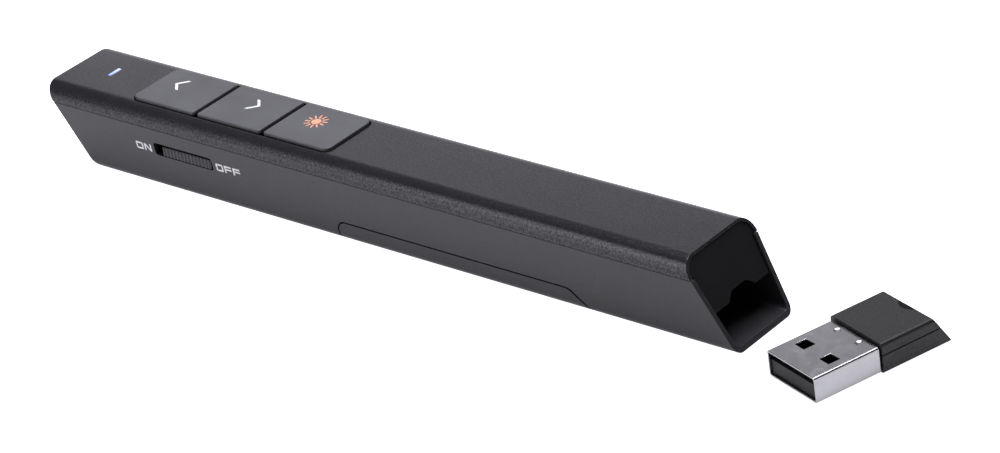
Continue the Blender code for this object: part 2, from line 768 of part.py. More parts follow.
def make_battery():
    """The cell, its spring, the two contact plates and the lead from the rear plate."""
    body_top = CELL_LENGTH - NUB_LENGTH
    cell = turned(
        "battery_cell",
        [
            (0, 0), (CELL_RADIUS - CELL_EDGE, 0), (CELL_RADIUS, CELL_EDGE),
            (CELL_RADIUS, body_top - CELL_EDGE), (CELL_RADIUS - CELL_EDGE, body_top),
            (NUB_RADIUS, body_top), (NUB_RADIUS, CELL_LENGTH), (0, CELL_LENGTH),
        ],
        (CELL_FRONT_X, 0, CELL_HEIGHT),
        (0, math.pi / 2, 0),
    )
    finish(cell, CELL_JACKET, 0.35)

    coil = []
    for step in range(SPRING_TURNS * POINTS_PER_TURN + 1):
        share = step / (SPRING_TURNS * POINTS_PER_TURN)
        angle = math.tau * SPRING_TURNS * share
        radius = SPRING_RADIUS + (SPRING_END_RADIUS - SPRING_RADIUS) * share
        run = SPRING_LENGTH - 2 * SPRING_WIRE_RADIUS
        coil.append((
            SPRING_FRONT_X + SPRING_WIRE_RADIUS + run * share,
            radius * math.cos(angle),
            CELL_HEIGHT + radius * math.sin(angle),
        ))
    finish(tube("battery_spring", coil, SPRING_WIRE_RADIUS, "POLY"), STEEL, 0.25, 1)

    half = CONTACT_PLATE_SIDE / 2
    plate_top = PARTITION_TOP + 2 * LEAD_RADIUS
    for name, x in (("spring_contact", FRONT_CONTACT_X), ("nub_contact", REAR_CONTACT_X)):
        plate = block(
            name,
            (x, -half, CELL_HEIGHT - half),
            (x + CONTACT_PLATE_THICKNESS, half, plate_top),
        )
        if name == "nub_contact":
            boss = rod(
                "boss", CONTACT_BOSS_RADIUS, -CONTACT_BOSS_HEIGHT, CONTACT_PLATE_THICKNESS / 2,
                (x, 0, CELL_HEIGHT), (0, math.pi / 2, 0), SMALL_TURN_STEPS,
            )
            join(plate, boss)
        finish(plate, STEEL, 0.3, 1)

    lead_y = (CELL_RADIUS + inner_half_width(CELL_HEIGHT)) / 2 - LEAD_RADIUS
    lead_z = PARTING_HEIGHT - LIP_DEPTH - TOUCH_GAP - LEAD_RADIUS
    above = BOARD_TOP + TOUCH_GAP + LEAD_RADIUS
    start = plate_top + TOUCH_GAP + LEAD_RADIUS
    route = [
        (REAR_CONTACT_X + CONTACT_PLATE_THICKNESS / 2, half - LEAD_RADIUS, start),
        (CELL_REAR_X - NUB_LENGTH, lead_y, lead_z),
        (CELL_REAR_X - CELL_LENGTH / 2, lead_y, lead_z),
        (CELL_FRONT_X, lead_y, lead_z),
        (FRONT_PARTITION_X, lead_y, above),
        (BOARD_REAR_X - 2 * BOARD_END_GAP, lead_y, above),
    ]
    finish(tube("battery_lead", route, LEAD_RADIUS), WIRE_RED, 0.5)


def key_width():
    """The keys are as wide as the flat of the top, and reach a little into its rounded edges."""
    return TOP_WIDTH - 2 * ROUND_TOP + 2 * KEY_SIDE_REACH


def make_keys():
    """Three keycaps in one window, each over its own push switch."""
    flange_half = TOP_WIDTH / 2 - COVER_SIDE_WALL - RUNNING_GAP - LIP_STEP
    length = KEY_PITCH - KEY_GAP
    for index, kind in enumerate(KEYS):
        x = KEY_PITCH * (index - (len(KEYS) - 1) / 2)
        front_corner = KEY_INNER_CORNER if index else KEY_CORNER
        rear_corner = KEY_CORNER if kind == KEYS[-1] else KEY_INNER_CORNER
        front, rear, side = x - length / 2, x + length / 2, key_width() / 2
        outline = rounded([
            (front, -side, front_corner), (rear, -side, rear_corner),
            (rear, side, rear_corner), (front, side, front_corner),
        ])
        cap = along_z(kind + "_key", outline, (FLANGE_BOTTOM + FLANGE_TOP) / 2, KEY_TOP)
        soften(cap, KEY_EDGE, lambda co: co.z > KEY_TOP - MERGE_DISTANCE)
        flange = block(
            "flange",
            (front + KEY_CORNER + KEY_EDGE, -flange_half, FLANGE_BOTTOM),
            (rear - KEY_CORNER - KEY_EDGE, flange_half, FLANGE_TOP),
        )
        half_y = side - KEY_SIDE_WALL
        hollow = block(
            "hollow",
            (front + KEY_SIDE_WALL, -half_y, FLANGE_BOTTOM - OVERRUN),
            (rear - KEY_SIDE_WALL, half_y, KEY_TOP - KEY_TOP_WALL),
        )
        plunger = rod(
            "plunger", PLUNGER_RADIUS, PLUNGER_BOTTOM, KEY_TOP - KEY_TOP_WALL / 2, (x, 0, 0),
            steps=SMALL_TURN_STEPS,
        )
        join(cut(join(cap, flange), hollow), plunger)
        move_origin(finish(cap, KEY_PLASTIC, 0.45), (x, 0, FLANGE_TOP))

        switch_bottom = BOARD_TOP + SOLDER_GAP
        half = SWITCH_SIDE / 2
        switch = block(
            kind + "_switch", (x - half, -half, switch_bottom), (x + half, half, SWITCH_TOP)
        )
        well = rod(
            "well", STEM_RADIUS + SOLDER_GAP, switch_bottom + SWITCH_FLOOR, SWITCH_TOP + OVERRUN,
            (x, 0, 0), steps=SMALL_TURN_STEPS,
        )
        cut(switch, well)
        finish(switch, STEEL, 0.35, 1)
        stem = rod(
            kind + "_switch_stem", STEM_RADIUS, -STEM_PROUD - STEM_DEPTH, 0, (x, 0, STEM_TOP),
            steps=SMALL_TURN_STEPS,
        )
        finish(stem, CHIP_BLACK, 0.5)


def make_board():
    """The main board on its two posts, with the parts soldered to it and the screws that hold it."""
    half = inner_half_width(BOARD_BOTTOM) - BOARD_SIDE_GAP
    length = BOARD_REAR_X - BOARD_FRONT_X
    middle = (BOARD_FRONT_X + BOARD_REAR_X) / 2
    board = along_z(
        "main_board", rectangle(length, 2 * half, BOARD_CORNER, (middle, 0)), BOARD_BOTTOM, BOARD_TOP
    )
    screw_stations = (-KEY_PITCH / 2, KEY_PITCH / 2)
    holes = [
        rod("hole", SCREW_HOLE_RADIUS, BOARD_BOTTOM - OVERRUN, BOARD_TOP + OVERRUN, (x, 0, 0),
            steps=SMALL_TURN_STEPS)
        for x in screw_stations
    ]
    slider_reach = (PAD_LENGTH + SLIDER_TRAVEL) / 2 + 2 * RUNNING_GAP
    slider_room = CASE_WALL + SLIDER_FLANGE_THICKNESS + 3 * RUNNING_GAP
    notch = block(
        "notch",
        (-SLIDER_FORWARD - slider_reach, -PARTING_WIDTH, BOARD_BOTTOM - OVERRUN),
        (-SLIDER_FORWARD + slider_reach, slider_room - side_at(BOARD_BOTTOM), BOARD_TOP + OVERRUN),
    )
    cut(board, notch, *holes)
    finish(board, BOARD_GREEN, 0.4)

    for name, x in zip(("board_screw_front", "board_screw_rear"), screw_stations):
        screw = turned(
            name,
            [
                (0, -SCREW_SHANK_LENGTH), (SCREW_SHANK_RADIUS / 2, -SCREW_SHANK_LENGTH),
                (SCREW_SHANK_RADIUS, SCREW_SHANK_RADIUS - SCREW_SHANK_LENGTH), (SCREW_SHANK_RADIUS, 0),
                (SCREW_HEAD_RADIUS, 0), (SCREW_HEAD_RADIUS, SCREW_HEAD_HEIGHT / 2),
                (SCREW_HEAD_RADIUS / 2, SCREW_HEAD_HEIGHT), (0, SCREW_HEAD_HEIGHT),
            ],
            (x, 0, BOARD_TOP + SOLDER_GAP),
            steps=SMALL_TURN_STEPS,
        )
        head = BOARD_TOP + SOLDER_GAP + SCREW_HEAD_HEIGHT
        wide, thin = SCREW_DRIVE_RADIUS, SCREW_DRIVE_RADIUS / 4
        drive = [
            block(
                "drive",
                (x - across, -along, head - SCREW_DRIVE_DEPTH),
                (x + across, along, head + OVERRUN),
            )
            for across, along in ((wide, thin), (thin, wide))
        ]
        cut(screw, *drive)
        finish(screw, STEEL, 0.3, 1)

    under = BOARD_BOTTOM - SOLDER_GAP
    row_x = KEY_PITCH / 2 + PART_ROW_SPACING
    chip = block(
        "radio_chip",
        (row_x - CHIP_SIDE / 2, PART_ROW_OFFSET - CHIP_SIDE / 2, under - CHIP_HEIGHT),
        (row_x + CHIP_SIDE / 2, PART_ROW_OFFSET + CHIP_SIDE / 2, under),
    )
    finish(chip, CHIP_BLACK, 0.35)
    crystal = along_z(
        "crystal",
        rectangle(CRYSTAL_LENGTH, CRYSTAL_WIDTH, CRYSTAL_CORNER, (row_x, -PART_ROW_OFFSET)),
        under - CRYSTAL_HEIGHT,
        under,
    )
    finish(crystal, STEEL, 0.25, 1)
    coil = turned(
        "boost_coil",
        [
            (0, 0), (COIL_RADIUS, 0), (COIL_RADIUS, COIL_CHEEK), (COIL_CORE_RADIUS, COIL_CHEEK),
            (COIL_CORE_RADIUS, COIL_HEIGHT - COIL_CHEEK), (COIL_RADIUS, COIL_HEIGHT - COIL_CHEEK),
            (COIL_RADIUS, COIL_HEIGHT), (0, COIL_HEIGHT),
        ],
        (0, PART_ROW_OFFSET, under - COIL_HEIGHT),
        steps=SMALL_TURN_STEPS,
    )
    finish(coil, CHIP_BLACK, 0.6)


def make_status_light():
    """The light on the board and the clear pipe that carries it to the slot in the cover."""
    led_top = BOARD_TOP + SOLDER_GAP + LED_HEIGHT
    led = block(
        "status_led",
        (LIGHT_X - LED_WIDTH / 2, LIGHT_ASIDE - LED_LENGTH / 2, BOARD_TOP + SOLDER_GAP),
        (LIGHT_X + LED_WIDTH / 2, LIGHT_ASIDE + LED_LENGTH / 2, led_top),
    )
    finish(led, LED_RESIN, 0.4)
    half_x, half_y = LIGHT_WIDTH / 2, LIGHT_LENGTH / 2
    pipe = block(
        "light_pipe",
        (LIGHT_X - half_x, LIGHT_ASIDE - half_y, led_top + TOUCH_GAP),
        (LIGHT_X + half_x, LIGHT_ASIDE + half_y, CASE_HEIGHT),
    )
    collar = block(
        "collar",
        (LIGHT_X - half_x - PIPE_COLLAR, LIGHT_ASIDE - half_y - PIPE_COLLAR,
         CAVITY_TOP - TOUCH_GAP - COVER_WALL),
        (LIGHT_X + half_x + PIPE_COLLAR, LIGHT_ASIDE + half_y + PIPE_COLLAR, CAVITY_TOP - TOUCH_GAP),
    )
    join(pipe, collar)
    finish(pipe, LIT_PIPE, 0.2, alpha=0.6)


def wall_lean():
    """How far the lower case's sides lean out from the vertical."""
    return math.atan2((PARTING_WIDTH - BOTTOM_WIDTH) / 2, PARTING_HEIGHT)


def slot_length():
    return PAD_LENGTH + SLIDER_TRAVEL + 2 * RUNNING_GAP


def slider_slot():
    """The cutter for the slot in the -Y wall, square to the leaning wall."""
    slot = along_y(
        "slot",
        rectangle(slot_length(), PAD_HEIGHT + 2 * SLOT_GAP, SLOT_CORNER),
        -OVERRUN,
        OVERRUN,
    )
    slot.location = (-SLIDER_FORWARD, -side_at(SLIDER_HEIGHT), SLIDER_HEIGHT)
    slot.rotation_euler = (wall_lean(), 0, 0)
    return slot


def make_power_slider():
    """The ridged pad in the slot, its flange and ears, and the slide switch behind it."""
    ridges = [(-PAD_LENGTH / 2, CASE_WALL)]
    pitch = PAD_LENGTH / RIDGE_COUNT
    for index in range(RIDGE_COUNT):
        x = -PAD_LENGTH / 2 + pitch * index
        ridges.append((x, PAD_RECESS + RIDGE_DEPTH / 2))
        ridges.append((x + pitch / 4, PAD_RECESS))
        ridges.append((x + pitch / 2, PAD_RECESS))
        ridges.append((x + pitch * 3 / 4, PAD_RECESS + RIDGE_DEPTH))
    ridges.append((PAD_LENGTH / 2, PAD_RECESS + RIDGE_DEPTH / 2))
    ridges.append((PAD_LENGTH / 2, CASE_WALL))
    flange_front = CASE_WALL + RUNNING_GAP
    flange_rear = flange_front + SLIDER_FLANGE_THICKNESS
    knob = along_z("power_slider", ridges, -PAD_HEIGHT / 2, PAD_HEIGHT / 2)
    half = PAD_HEIGHT / 2 - SLOT_GAP
    half_length = PAD_LENGTH / 2 - SLOT_GAP
    core = block(
        "core",
        (-half_length, CASE_WALL / 2, -half),
        (half_length, flange_rear - SLOT_GAP, half),
    )
    flange = block(
        "flange",
        (-PAD_LENGTH / 2, flange_front, -SLIDER_FLANGE_HEIGHT / 2),
        (PAD_LENGTH / 2, flange_rear, SLIDER_FLANGE_HEIGHT / 2),
    )
    ear_x = (LEVER_WIDTH + EAR_THICKNESS) / 2 + SLOT_GAP
    ears = [
        block(
            "ear",
            (side * ear_x - EAR_THICKNESS / 2, flange_rear - SLOT_GAP, -EAR_HEIGHT / 2),
            (side * ear_x + EAR_THICKNESS / 2, flange_rear + EAR_REACH, EAR_HEIGHT / 2),
        )
        for side in (-1, 1)
    ]
    join(knob, core, flange, *ears)
    finish(knob, PLASTIC, 0.5)
    rest_x = -SLIDER_FORWARD + SLIDER_TRAVEL / 2
    seat(
        "power_slider_seat",
        (rest_x, -side_at(SLIDER_HEIGHT), SLIDER_HEIGHT),
        (wall_lean(), 0, 0),
        [knob],
    )

    face_y = -side_at(SLIDER_HEIGHT) + flange_rear + EAR_REACH + RUNNING_GAP
    half_length, half_height = SLIDE_BODY_LENGTH / 2, SLIDE_BODY_HEIGHT / 2
    back_y = face_y + SLIDE_BODY_DEPTH
    body = block(
        "slide_switch",
        (-SLIDER_FORWARD - half_length, face_y, SLIDER_HEIGHT - half_height),
        (-SLIDER_FORWARD + half_length, back_y, SLIDER_HEIGHT + half_height),
    )
    room_x = (SLIDER_TRAVEL + LEVER_WIDTH) / 2 + RUNNING_GAP
    room_z = LEVER_HEIGHT / 2 + SLOT_GAP
    room = block(
        "room",
        (-SLIDER_FORWARD - room_x, face_y - OVERRUN, SLIDER_HEIGHT - room_z),
        (-SLIDER_FORWARD + room_x, face_y + LEVER_ROOT + TOUCH_GAP, SLIDER_HEIGHT + room_z),
    )
    cut(body, room)
    finish(body, STEEL, 0.35, 1)
    lever = block(
        "slide_switch_lever",
        (rest_x - LEVER_WIDTH / 2, face_y - EAR_REACH, SLIDER_HEIGHT - LEVER_HEIGHT / 2),
        (rest_x + LEVER_WIDTH / 2, face_y + LEVER_ROOT, SLIDER_HEIGHT + LEVER_HEIGHT / 2),
    )
    finish(lever, CHIP_BLACK, 0.5)


def barrel_front_x():
    """The barrel stands as near the leaning front wall as its lower edge allows."""
    inner_wall = end_plane(FRONT_X + FRONT_WALL)
    return inner_wall(LASER_HEIGHT - BARREL_RADIUS) + RUNNING_GAP


def cradle_stations():
    return [
        barrel_front_x() + BARREL_LENGTH * share
        for share in (CRADLE_END_SHARE, 1 - CRADLE_END_SHARE)
    ]


def make_laser():
    """The window in the front end, the barrel with its lens and diode, and the two leads."""
    circle = [
        (WINDOW_RADIUS * math.cos(math.tau * step / TURN_STEPS),
         LASER_HEIGHT + WINDOW_RADIUS * math.sin(math.tau * step / TURN_STEPS))
        for step in range(TURN_STEPS)
    ]
    window = along_x(
        "laser_window",
        circle,
        end_plane(FRONT_X + WINDOW_RECESS),
        end_plane(FRONT_X + WINDOW_RECESS + WINDOW_THICKNESS),
    )
    finish(window, WINDOW_TINT, 0.1, alpha=0.6)

    start = barrel_front_x()
    along = (0, math.pi / 2, 0)
    barrel = turned(
        "laser_barrel",
        [
            (BARREL_BORE, 0), (BARREL_RADIUS, 0),
            (BARREL_RADIUS, BARREL_LENGTH), (BARREL_BORE, BARREL_LENGTH),
        ],
        (start, 0, LASER_HEIGHT),
        along,
        closed=True,
    )
    finish(barrel, BRASS, 0.3, 1)
    lens_steps = ARC_STEPS // 2
    bulge = [
        (LENS_RADIUS * math.sin(math.pi / 2 * step / lens_steps),
         LENS_BULGE * (1 - math.cos(math.pi / 2 * step / lens_steps)))
        for step in range(lens_steps + 1)
    ]
    far = 2 * LENS_BULGE + LENS_EDGE
    profile = bulge + [(radius, far - height) for radius, height in reversed(bulge)]
    lens = turned("laser_lens", profile, (start + LENS_SETBACK, 0, LASER_HEIGHT), along)
    finish(lens, LENS_CLEAR, 0.05, alpha=0.4)
    rear = start + BARREL_LENGTH + TOUCH_GAP
    diode = turned(
        "laser_diode",
        [
            (0, -DIODE_CAN_LENGTH), (DIODE_CAN_RADIUS, -DIODE_CAN_LENGTH),
            (DIODE_CAN_RADIUS, 0), (DIODE_BASE_RADIUS, 0),
            (DIODE_BASE_RADIUS, DIODE_BASE_THICKNESS), (0, DIODE_BASE_THICKNESS),
        ],
        (rear, 0, LASER_HEIGHT),
        along,
    )
    finish(diode, BRASS, 0.35, 1)
    base = rear + DIODE_BASE_THICKNESS + TOUCH_GAP
    leads = (("laser_lead_plus", 1, WIRE_RED), ("laser_lead_minus", -1, WIRE_BLACK))
    for name, side, colour in leads:
        y = side * LASER_LEAD_OFFSET
        route = [
            (base, y, LASER_HEIGHT),
            (base + LASER_LEAD_RUN / 2, y, LASER_HEIGHT),
            (base + LASER_LEAD_RUN, y, (LASER_HEIGHT + BOARD_BOTTOM) / 2),
            (base + LASER_LEAD_RUN, y, BOARD_BOTTOM - TOUCH_GAP),
        ]
        finish(tube(name, route, LASER_LEAD_RADIUS), colour, 0.5)


def receiver_section(inset, bottom, top, top_fillet, bottom_fillet):
    """The receiver's outline across its length between two heights, this far in from its sides."""
    half = RECEIVER_WIDTH / 2 - inset
    return rounded([
        (-half, bottom, bottom_fillet), (half, bottom, bottom_fillet),
        (half, top, top_fillet), (-half, top, top_fillet),
    ])


def receiver_rear(station):
    """The plane of the receiver's rear end, shorter at the top, through a station on its underside."""
    return lambda z: station - math.tan(RECEIVER_LEAN) * z


def dimple(x, y, surface):
    """A ball's lower part that presses a round mark into a surface, as wide and deep as given."""
    ball = (DIMPLE_RADIUS ** 2 + DIMPLE_DEPTH ** 2) / (2 * DIMPLE_DEPTH)
    reach = math.acos((ball - 2 * DIMPLE_DEPTH) / ball)
    profile = []
    for step in range(ARC_STEPS + 1):
        angle = reach * step / ARC_STEPS
        profile.append((ball * math.sin(angle), ball - ball * math.cos(angle)))
    profile.append((0, 2 * DIMPLE_DEPTH))
    return turned("dimple", profile, (x, y, surface - DIMPLE_DEPTH), steps=SMALL_TURN_STEPS)


def make_plug():
    """The plug's steel shell, the moulded tongue inside it and the four contact strips."""
    low = PLUG_LIFT
    middle = (0, low + PLUG_HEIGHT / 2)
    outer = rectangle(PLUG_WIDTH, PLUG_HEIGHT, PLUG_CORNER, middle)
    inner = rectangle(
        PLUG_WIDTH - 2 * PLUG_WALL, PLUG_HEIGHT - 2 * PLUG_WALL, PLUG_CORNER - PLUG_WALL / 2, middle
    )
    shell = along_x("plug_shell", outer, 0, PLUG_LENGTH)
    hollow = along_x("hollow", inner, -OVERRUN, PLUG_LENGTH + OVERRUN)
    holes = []
    dimples = []
    top = low + PLUG_HEIGHT
    for side in (-1, 1):
        y = side * PLUG_HOLE_OFFSET
        half_x, half_y = PLUG_HOLE_LENGTH / 2, PLUG_HOLE_WIDTH / 2
        for z in (low, top):
            holes.append(block(
                "hole",
                (PLUG_HOLE_SETBACK - half_x, y - half_y, z - 2 * PLUG_WALL),
                (PLUG_HOLE_SETBACK + half_x, y + half_y, z + 2 * PLUG_WALL),
            ))
        dimples.append(dimple(DIMPLE_SETBACK, side * DIMPLE_OFFSET, top))
    cut(shell, hollow, *holes, *dimples)
    finish(shell, STEEL, 0.25, 1)

    floor = low + PLUG_WALL + SOLDER_GAP
    ceiling = low + PLUG_HEIGHT - PLUG_WALL - SOLDER_GAP
    half = PLUG_WIDTH / 2 - PLUG_WALL - SOLDER_GAP
    tongue_top = floor + TONGUE_THICKNESS
    tongue_end = TONGUE_SETBACK + TONGUE_LENGTH
    stub_end = RECEIVER_FRONT + STUB_LENGTH
    tongue = along_y(
        "plug_tongue",
        [
            (TONGUE_SETBACK, floor), (PLUG_LENGTH, floor), (PLUG_LENGTH, ceiling),
            (tongue_end, ceiling), (tongue_end, tongue_top), (TONGUE_SETBACK, tongue_top),
        ],
        -half,
        half,
    )
    stub = block(
        "stub",
        (PLUG_LENGTH - OVERRUN, -STUB_WIDTH / 2, STUB_LIFT),
        (stub_end, STUB_WIDTH / 2, STUB_LIFT + STUB_HEIGHT),
    )
    join(tongue, stub)
    finish(tongue, CHIP_BLACK, 0.5)
    strips = []
    offsets = (-OUTER_STRIP_OFFSET, -INNER_STRIP_OFFSET, INNER_STRIP_OFFSET, OUTER_STRIP_OFFSET)
    for index, offset in enumerate(offsets):
        strip = block(
            "plug_contact_" + str(index + 1),
            (CONTACT_STRIP_SETBACK, offset - CONTACT_STRIP_WIDTH / 2, tongue_top + SOLDER_GAP),
            (
                CONTACT_STRIP_SETBACK + CONTACT_STRIP_LENGTH,
                offset + CONTACT_STRIP_WIDTH / 2,
                tongue_top + SOLDER_GAP + CONTACT_STRIP_THICKNESS,
            ),
        )
        strips.append(finish(strip, GOLD, 0.2, 1))
    return [shell, tongue, *strips]


def make_receiver_housing():
    """The two halves of the receiver's housing, with the slanted rear end and the nail notch."""
    front = RECEIVER_FRONT
    seam_low, seam_high = RECEIVER_SEAM - PARTING_GAP / 2, RECEIVER_SEAM + PARTING_GAP / 2
    inner_rear = receiver_rear(RECEIVER_REAR - RECEIVER_WALL / math.cos(RECEIVER_LEAN))
    base = along_x(
        "receiver_base",
        receiver_section(0, 0, seam_low, 0, RECEIVER_BOTTOM_FILLET),
        front,
        receiver_rear(RECEIVER_REAR),
    )
    base_hollow = along_x(
        "hollow",
        receiver_section(RECEIVER_WALL, RECEIVER_WALL, seam_low + OVERRUN, 0, 0),
        front + RECEIVER_WALL,
        inner_rear,
    )
    mouth_rear = front + RECEIVER_WALL + OVERRUN
    mouth_half = STUB_WIDTH / 2 + TOUCH_GAP
    mouth = block(
        "mouth",
        (front - OVERRUN, -mouth_half, STUB_LIFT - TOUCH_GAP),
        (mouth_rear, mouth_half, seam_low + OVERRUN),
    )
    rails = []
    half = RECEIVER_WIDTH / 2 - RECEIVER_WALL
    rail_front = front + STUB_LENGTH + TOUCH_GAP
    rail_rear = rail_front + RECEIVER_BOARD_LENGTH / 2
    for side in (-1, 1):
        near, far = sorted((side * (half - RECEIVER_RAIL_WIDTH), side * (half + RECEIVER_WALL / 2)))
        rails.append(block(
            "rail",
            (rail_front, near, RECEIVER_WALL / 2),
            (rail_rear, far, RECEIVER_WALL + RECEIVER_RAIL_HEIGHT),
        ))
    cut(join(cut(base, base_hollow), *rails), mouth)
    finish(base, PLASTIC, 0.5)

    cover = along_x(
        "receiver_cover",
        receiver_section(0, seam_high, RECEIVER_HEIGHT, RECEIVER_TOP_FILLET, 0),
        front,
        receiver_rear(RECEIVER_REAR),
    )
    cover_hollow = along_x(
        "hollow",
        receiver_section(RECEIVER_WALL, seam_high - OVERRUN, RECEIVER_HEIGHT - RECEIVER_WALL, 0, 0),
        front + RECEIVER_WALL,
        inner_rear,
    )
    stub_room = block(
        "stub_room",
        (front - OVERRUN, -mouth_half, seam_high - OVERRUN),
        (mouth_rear, mouth_half, STUB_LIFT + STUB_HEIGHT + TOUCH_GAP),
    )
    cut(cover, cover_hollow, stub_room, nail_notch())
    finish(cover, PLASTIC, 0.5)
    return [base, cover]


def nail_notch():
    """A round pocket at the rear top edge. Its floor starts at the edge and sinks towards the plug."""
    radius = (NOTCH_WIDTH ** 2 / 4 + NOTCH_REACH ** 2) / (2 * NOTCH_REACH)
    beyond = radius - NOTCH_REACH
    middle = (
        receiver_rear(RECEIVER_REAR)(RECEIVER_HEIGHT) + beyond,
        0,
        RECEIVER_HEIGHT + beyond * math.tan(NOTCH_TILT),
    )
    return rod("notch", radius, 0, OVERRUN, middle, (0, -NOTCH_TILT, 0))


def make_receiver_board():
    """The receiver's small board on its rails, with its chip and crystal."""
    start = RECEIVER_FRONT + STUB_LENGTH + TOUCH_GAP
    low = RECEIVER_WALL + RECEIVER_RAIL_HEIGHT + TOUCH_GAP
    high = low + RECEIVER_BOARD_THICKNESS
    board = block(
        "receiver_board",
        (start, -RECEIVER_BOARD_WIDTH / 2, low),
        (start + RECEIVER_BOARD_LENGTH, RECEIVER_BOARD_WIDTH / 2, high),
    )
    finish(board, BOARD_GREEN, 0.4)
    chip_x = start + RECEIVER_CHIP_SETBACK
    half = RECEIVER_CHIP_SIDE / 2
    seat_height = high + SOLDER_GAP
    chip = block(
        "receiver_chip",
        (chip_x - half, -half, seat_height),
        (chip_x + half, half, seat_height + RECEIVER_CHIP_HEIGHT),
    )
    finish(chip, CHIP_BLACK, 0.35)
    crystal_x = chip_x + half + RECEIVER_CRYSTAL_WIDTH
    crystal = block(
        "receiver_crystal",
        (crystal_x - RECEIVER_CRYSTAL_WIDTH / 2, -RECEIVER_CRYSTAL_LENGTH / 2, seat_height),
        (
            crystal_x + RECEIVER_CRYSTAL_WIDTH / 2,
            RECEIVER_CRYSTAL_LENGTH / 2,
            seat_height + RECEIVER_CRYSTAL_HEIGHT,
        ),
    )
    finish(crystal, STEEL, 0.25, 1)
    return [board, chip, crystal]


for leftover in list(bpy.data.objects):
    bpy.data.objects.remove(leftover)

make_bottom_case()
make_top_cover()
make_rear_plate()
make_battery_door()
make_battery()
make_keys()
make_board()
make_status_light()
make_power_slider()
make_laser()
seat(
    "receiver_seat",
    (REAR_X + RECEIVER_AWAY, RECEIVER_ASIDE, 0),
    (0, 0, RECEIVER_TURN),
    make_plug() + make_receiver_housing() + make_receiver_board(),
)
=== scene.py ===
# %% [markdown]
# # A wireless presenter with a laser pointer
#
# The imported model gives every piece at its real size. This lesson dresses it: it softens the
# moulded edges, prints the marks, gives each piece its finish and sets up the studio.
# Everything is in metres, in the model's own frame: X runs from the laser to the receiver
# bay, Y runs across, Z is up, and the presenter lies on z = 0.

import json
import math

import bmesh
import bpy
from mathutils import Matrix, Vector


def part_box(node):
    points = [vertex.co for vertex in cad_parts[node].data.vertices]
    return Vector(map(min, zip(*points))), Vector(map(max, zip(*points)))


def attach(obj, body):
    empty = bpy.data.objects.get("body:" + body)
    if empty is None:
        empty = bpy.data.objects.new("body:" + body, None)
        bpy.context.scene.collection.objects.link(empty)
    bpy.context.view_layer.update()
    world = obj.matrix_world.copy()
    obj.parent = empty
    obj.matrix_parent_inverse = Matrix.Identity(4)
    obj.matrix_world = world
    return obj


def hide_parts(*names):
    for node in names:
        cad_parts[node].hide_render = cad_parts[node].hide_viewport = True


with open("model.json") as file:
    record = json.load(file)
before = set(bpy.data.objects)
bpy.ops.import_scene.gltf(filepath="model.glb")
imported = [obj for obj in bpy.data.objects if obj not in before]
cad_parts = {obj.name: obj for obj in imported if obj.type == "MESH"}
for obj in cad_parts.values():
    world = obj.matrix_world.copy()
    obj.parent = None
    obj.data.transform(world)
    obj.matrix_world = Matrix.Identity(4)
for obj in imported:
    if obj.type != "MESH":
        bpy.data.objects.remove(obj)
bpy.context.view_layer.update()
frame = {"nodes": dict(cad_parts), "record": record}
nodes = frame["nodes"]
bodies = frame["record"]["behaviour"]["bodies"]
MM = 0.001

# %% [markdown]
# ## The camera
#
# The photograph was taken with a long lens from above the receiver's end. The place, the turn
# and the lens were worked out by fitting the presenter's straight edges and the plug's
# corners to the picture, so they are written here as plain measurements.

# %% Camera
CAMERA_PLACE = (0.428205, -0.385860, 0.297547)
CAMERA_TURN_DEGREES = (61.2187, 7.91379, 39.74697)
CAMERA_LENS_MM = 133.8855
SENSOR_WIDTH_MM = 36
CLIP_START = 0.01

bpy.ops.object.camera_add(
    location=CAMERA_PLACE, rotation=[math.radians(angle) for angle in CAMERA_TURN_DEGREES]
)
camera = bpy.context.object
camera.name = "photo_camera"
camera.data.lens = CAMERA_LENS_MM
camera.data.sensor_width = SENSOR_WIDTH_MM
camera.data.clip_start = CLIP_START
bpy.context.scene.camera = camera
print("camera stands", round(camera.location.length, 3), "m from the middle key")

# %% [markdown]
# ## The studio
#
# Dark plastic shows its studio more than its own colour. The flat top mirrors a pale
# backdrop behind the object, the near side mirrors the white floor, and the rounded edge
# between them mirrors the unlit part of the room, which is why a dark band runs along it.
# So the room is a dim world with one soft lamp overhead and one soft panel behind. Two cards
# on the near side light the lower half of the rounded edge, more at the rear than at the
# front. The world and the floor are white for the camera alone, which keeps the light on
# the object plain.

# %% A helper that builds a shader from nodes
def add_node(tree, kind, **values):
    """Adds a shader node and sets its sockets or its own settings by name."""
    node = tree.nodes.new(kind)
    for name, value in values.items():
        title = name.replace("_", " ")
        if title in node.inputs:
            node.inputs[title].default_value = value
        else:
            setattr(node, name, value)
    return node


# %% World: white for the camera, a dim room for the object
ROOM_GREY = 0.09
LIGHT_TINT = (0.985, 0.975, 1.045)

world = bpy.data.worlds.new("studio_room")
bpy.context.scene.world = world
world.use_nodes = True
tree = world.node_tree
tree.nodes.clear()
path = add_node(tree, "ShaderNodeLightPath")
room = add_node(tree, "ShaderNodeBackground", Color=(*LIGHT_TINT, 1), Strength=ROOM_GREY)
white = add_node(tree, "ShaderNodeBackground", Color=(1, 1, 1, 1))
mix = add_node(tree, "ShaderNodeMixShader")
out = add_node(tree, "ShaderNodeOutputWorld")
tree.links.new(path.outputs["Is Camera Ray"], mix.inputs["Fac"])
tree.links.new(room.outputs[0], mix.inputs[1])
tree.links.new(white.outputs[0], mix.inputs[2])
tree.links.new(mix.outputs[0], out.inputs["Surface"])
print("the room's grey is", ROOM_GREY)

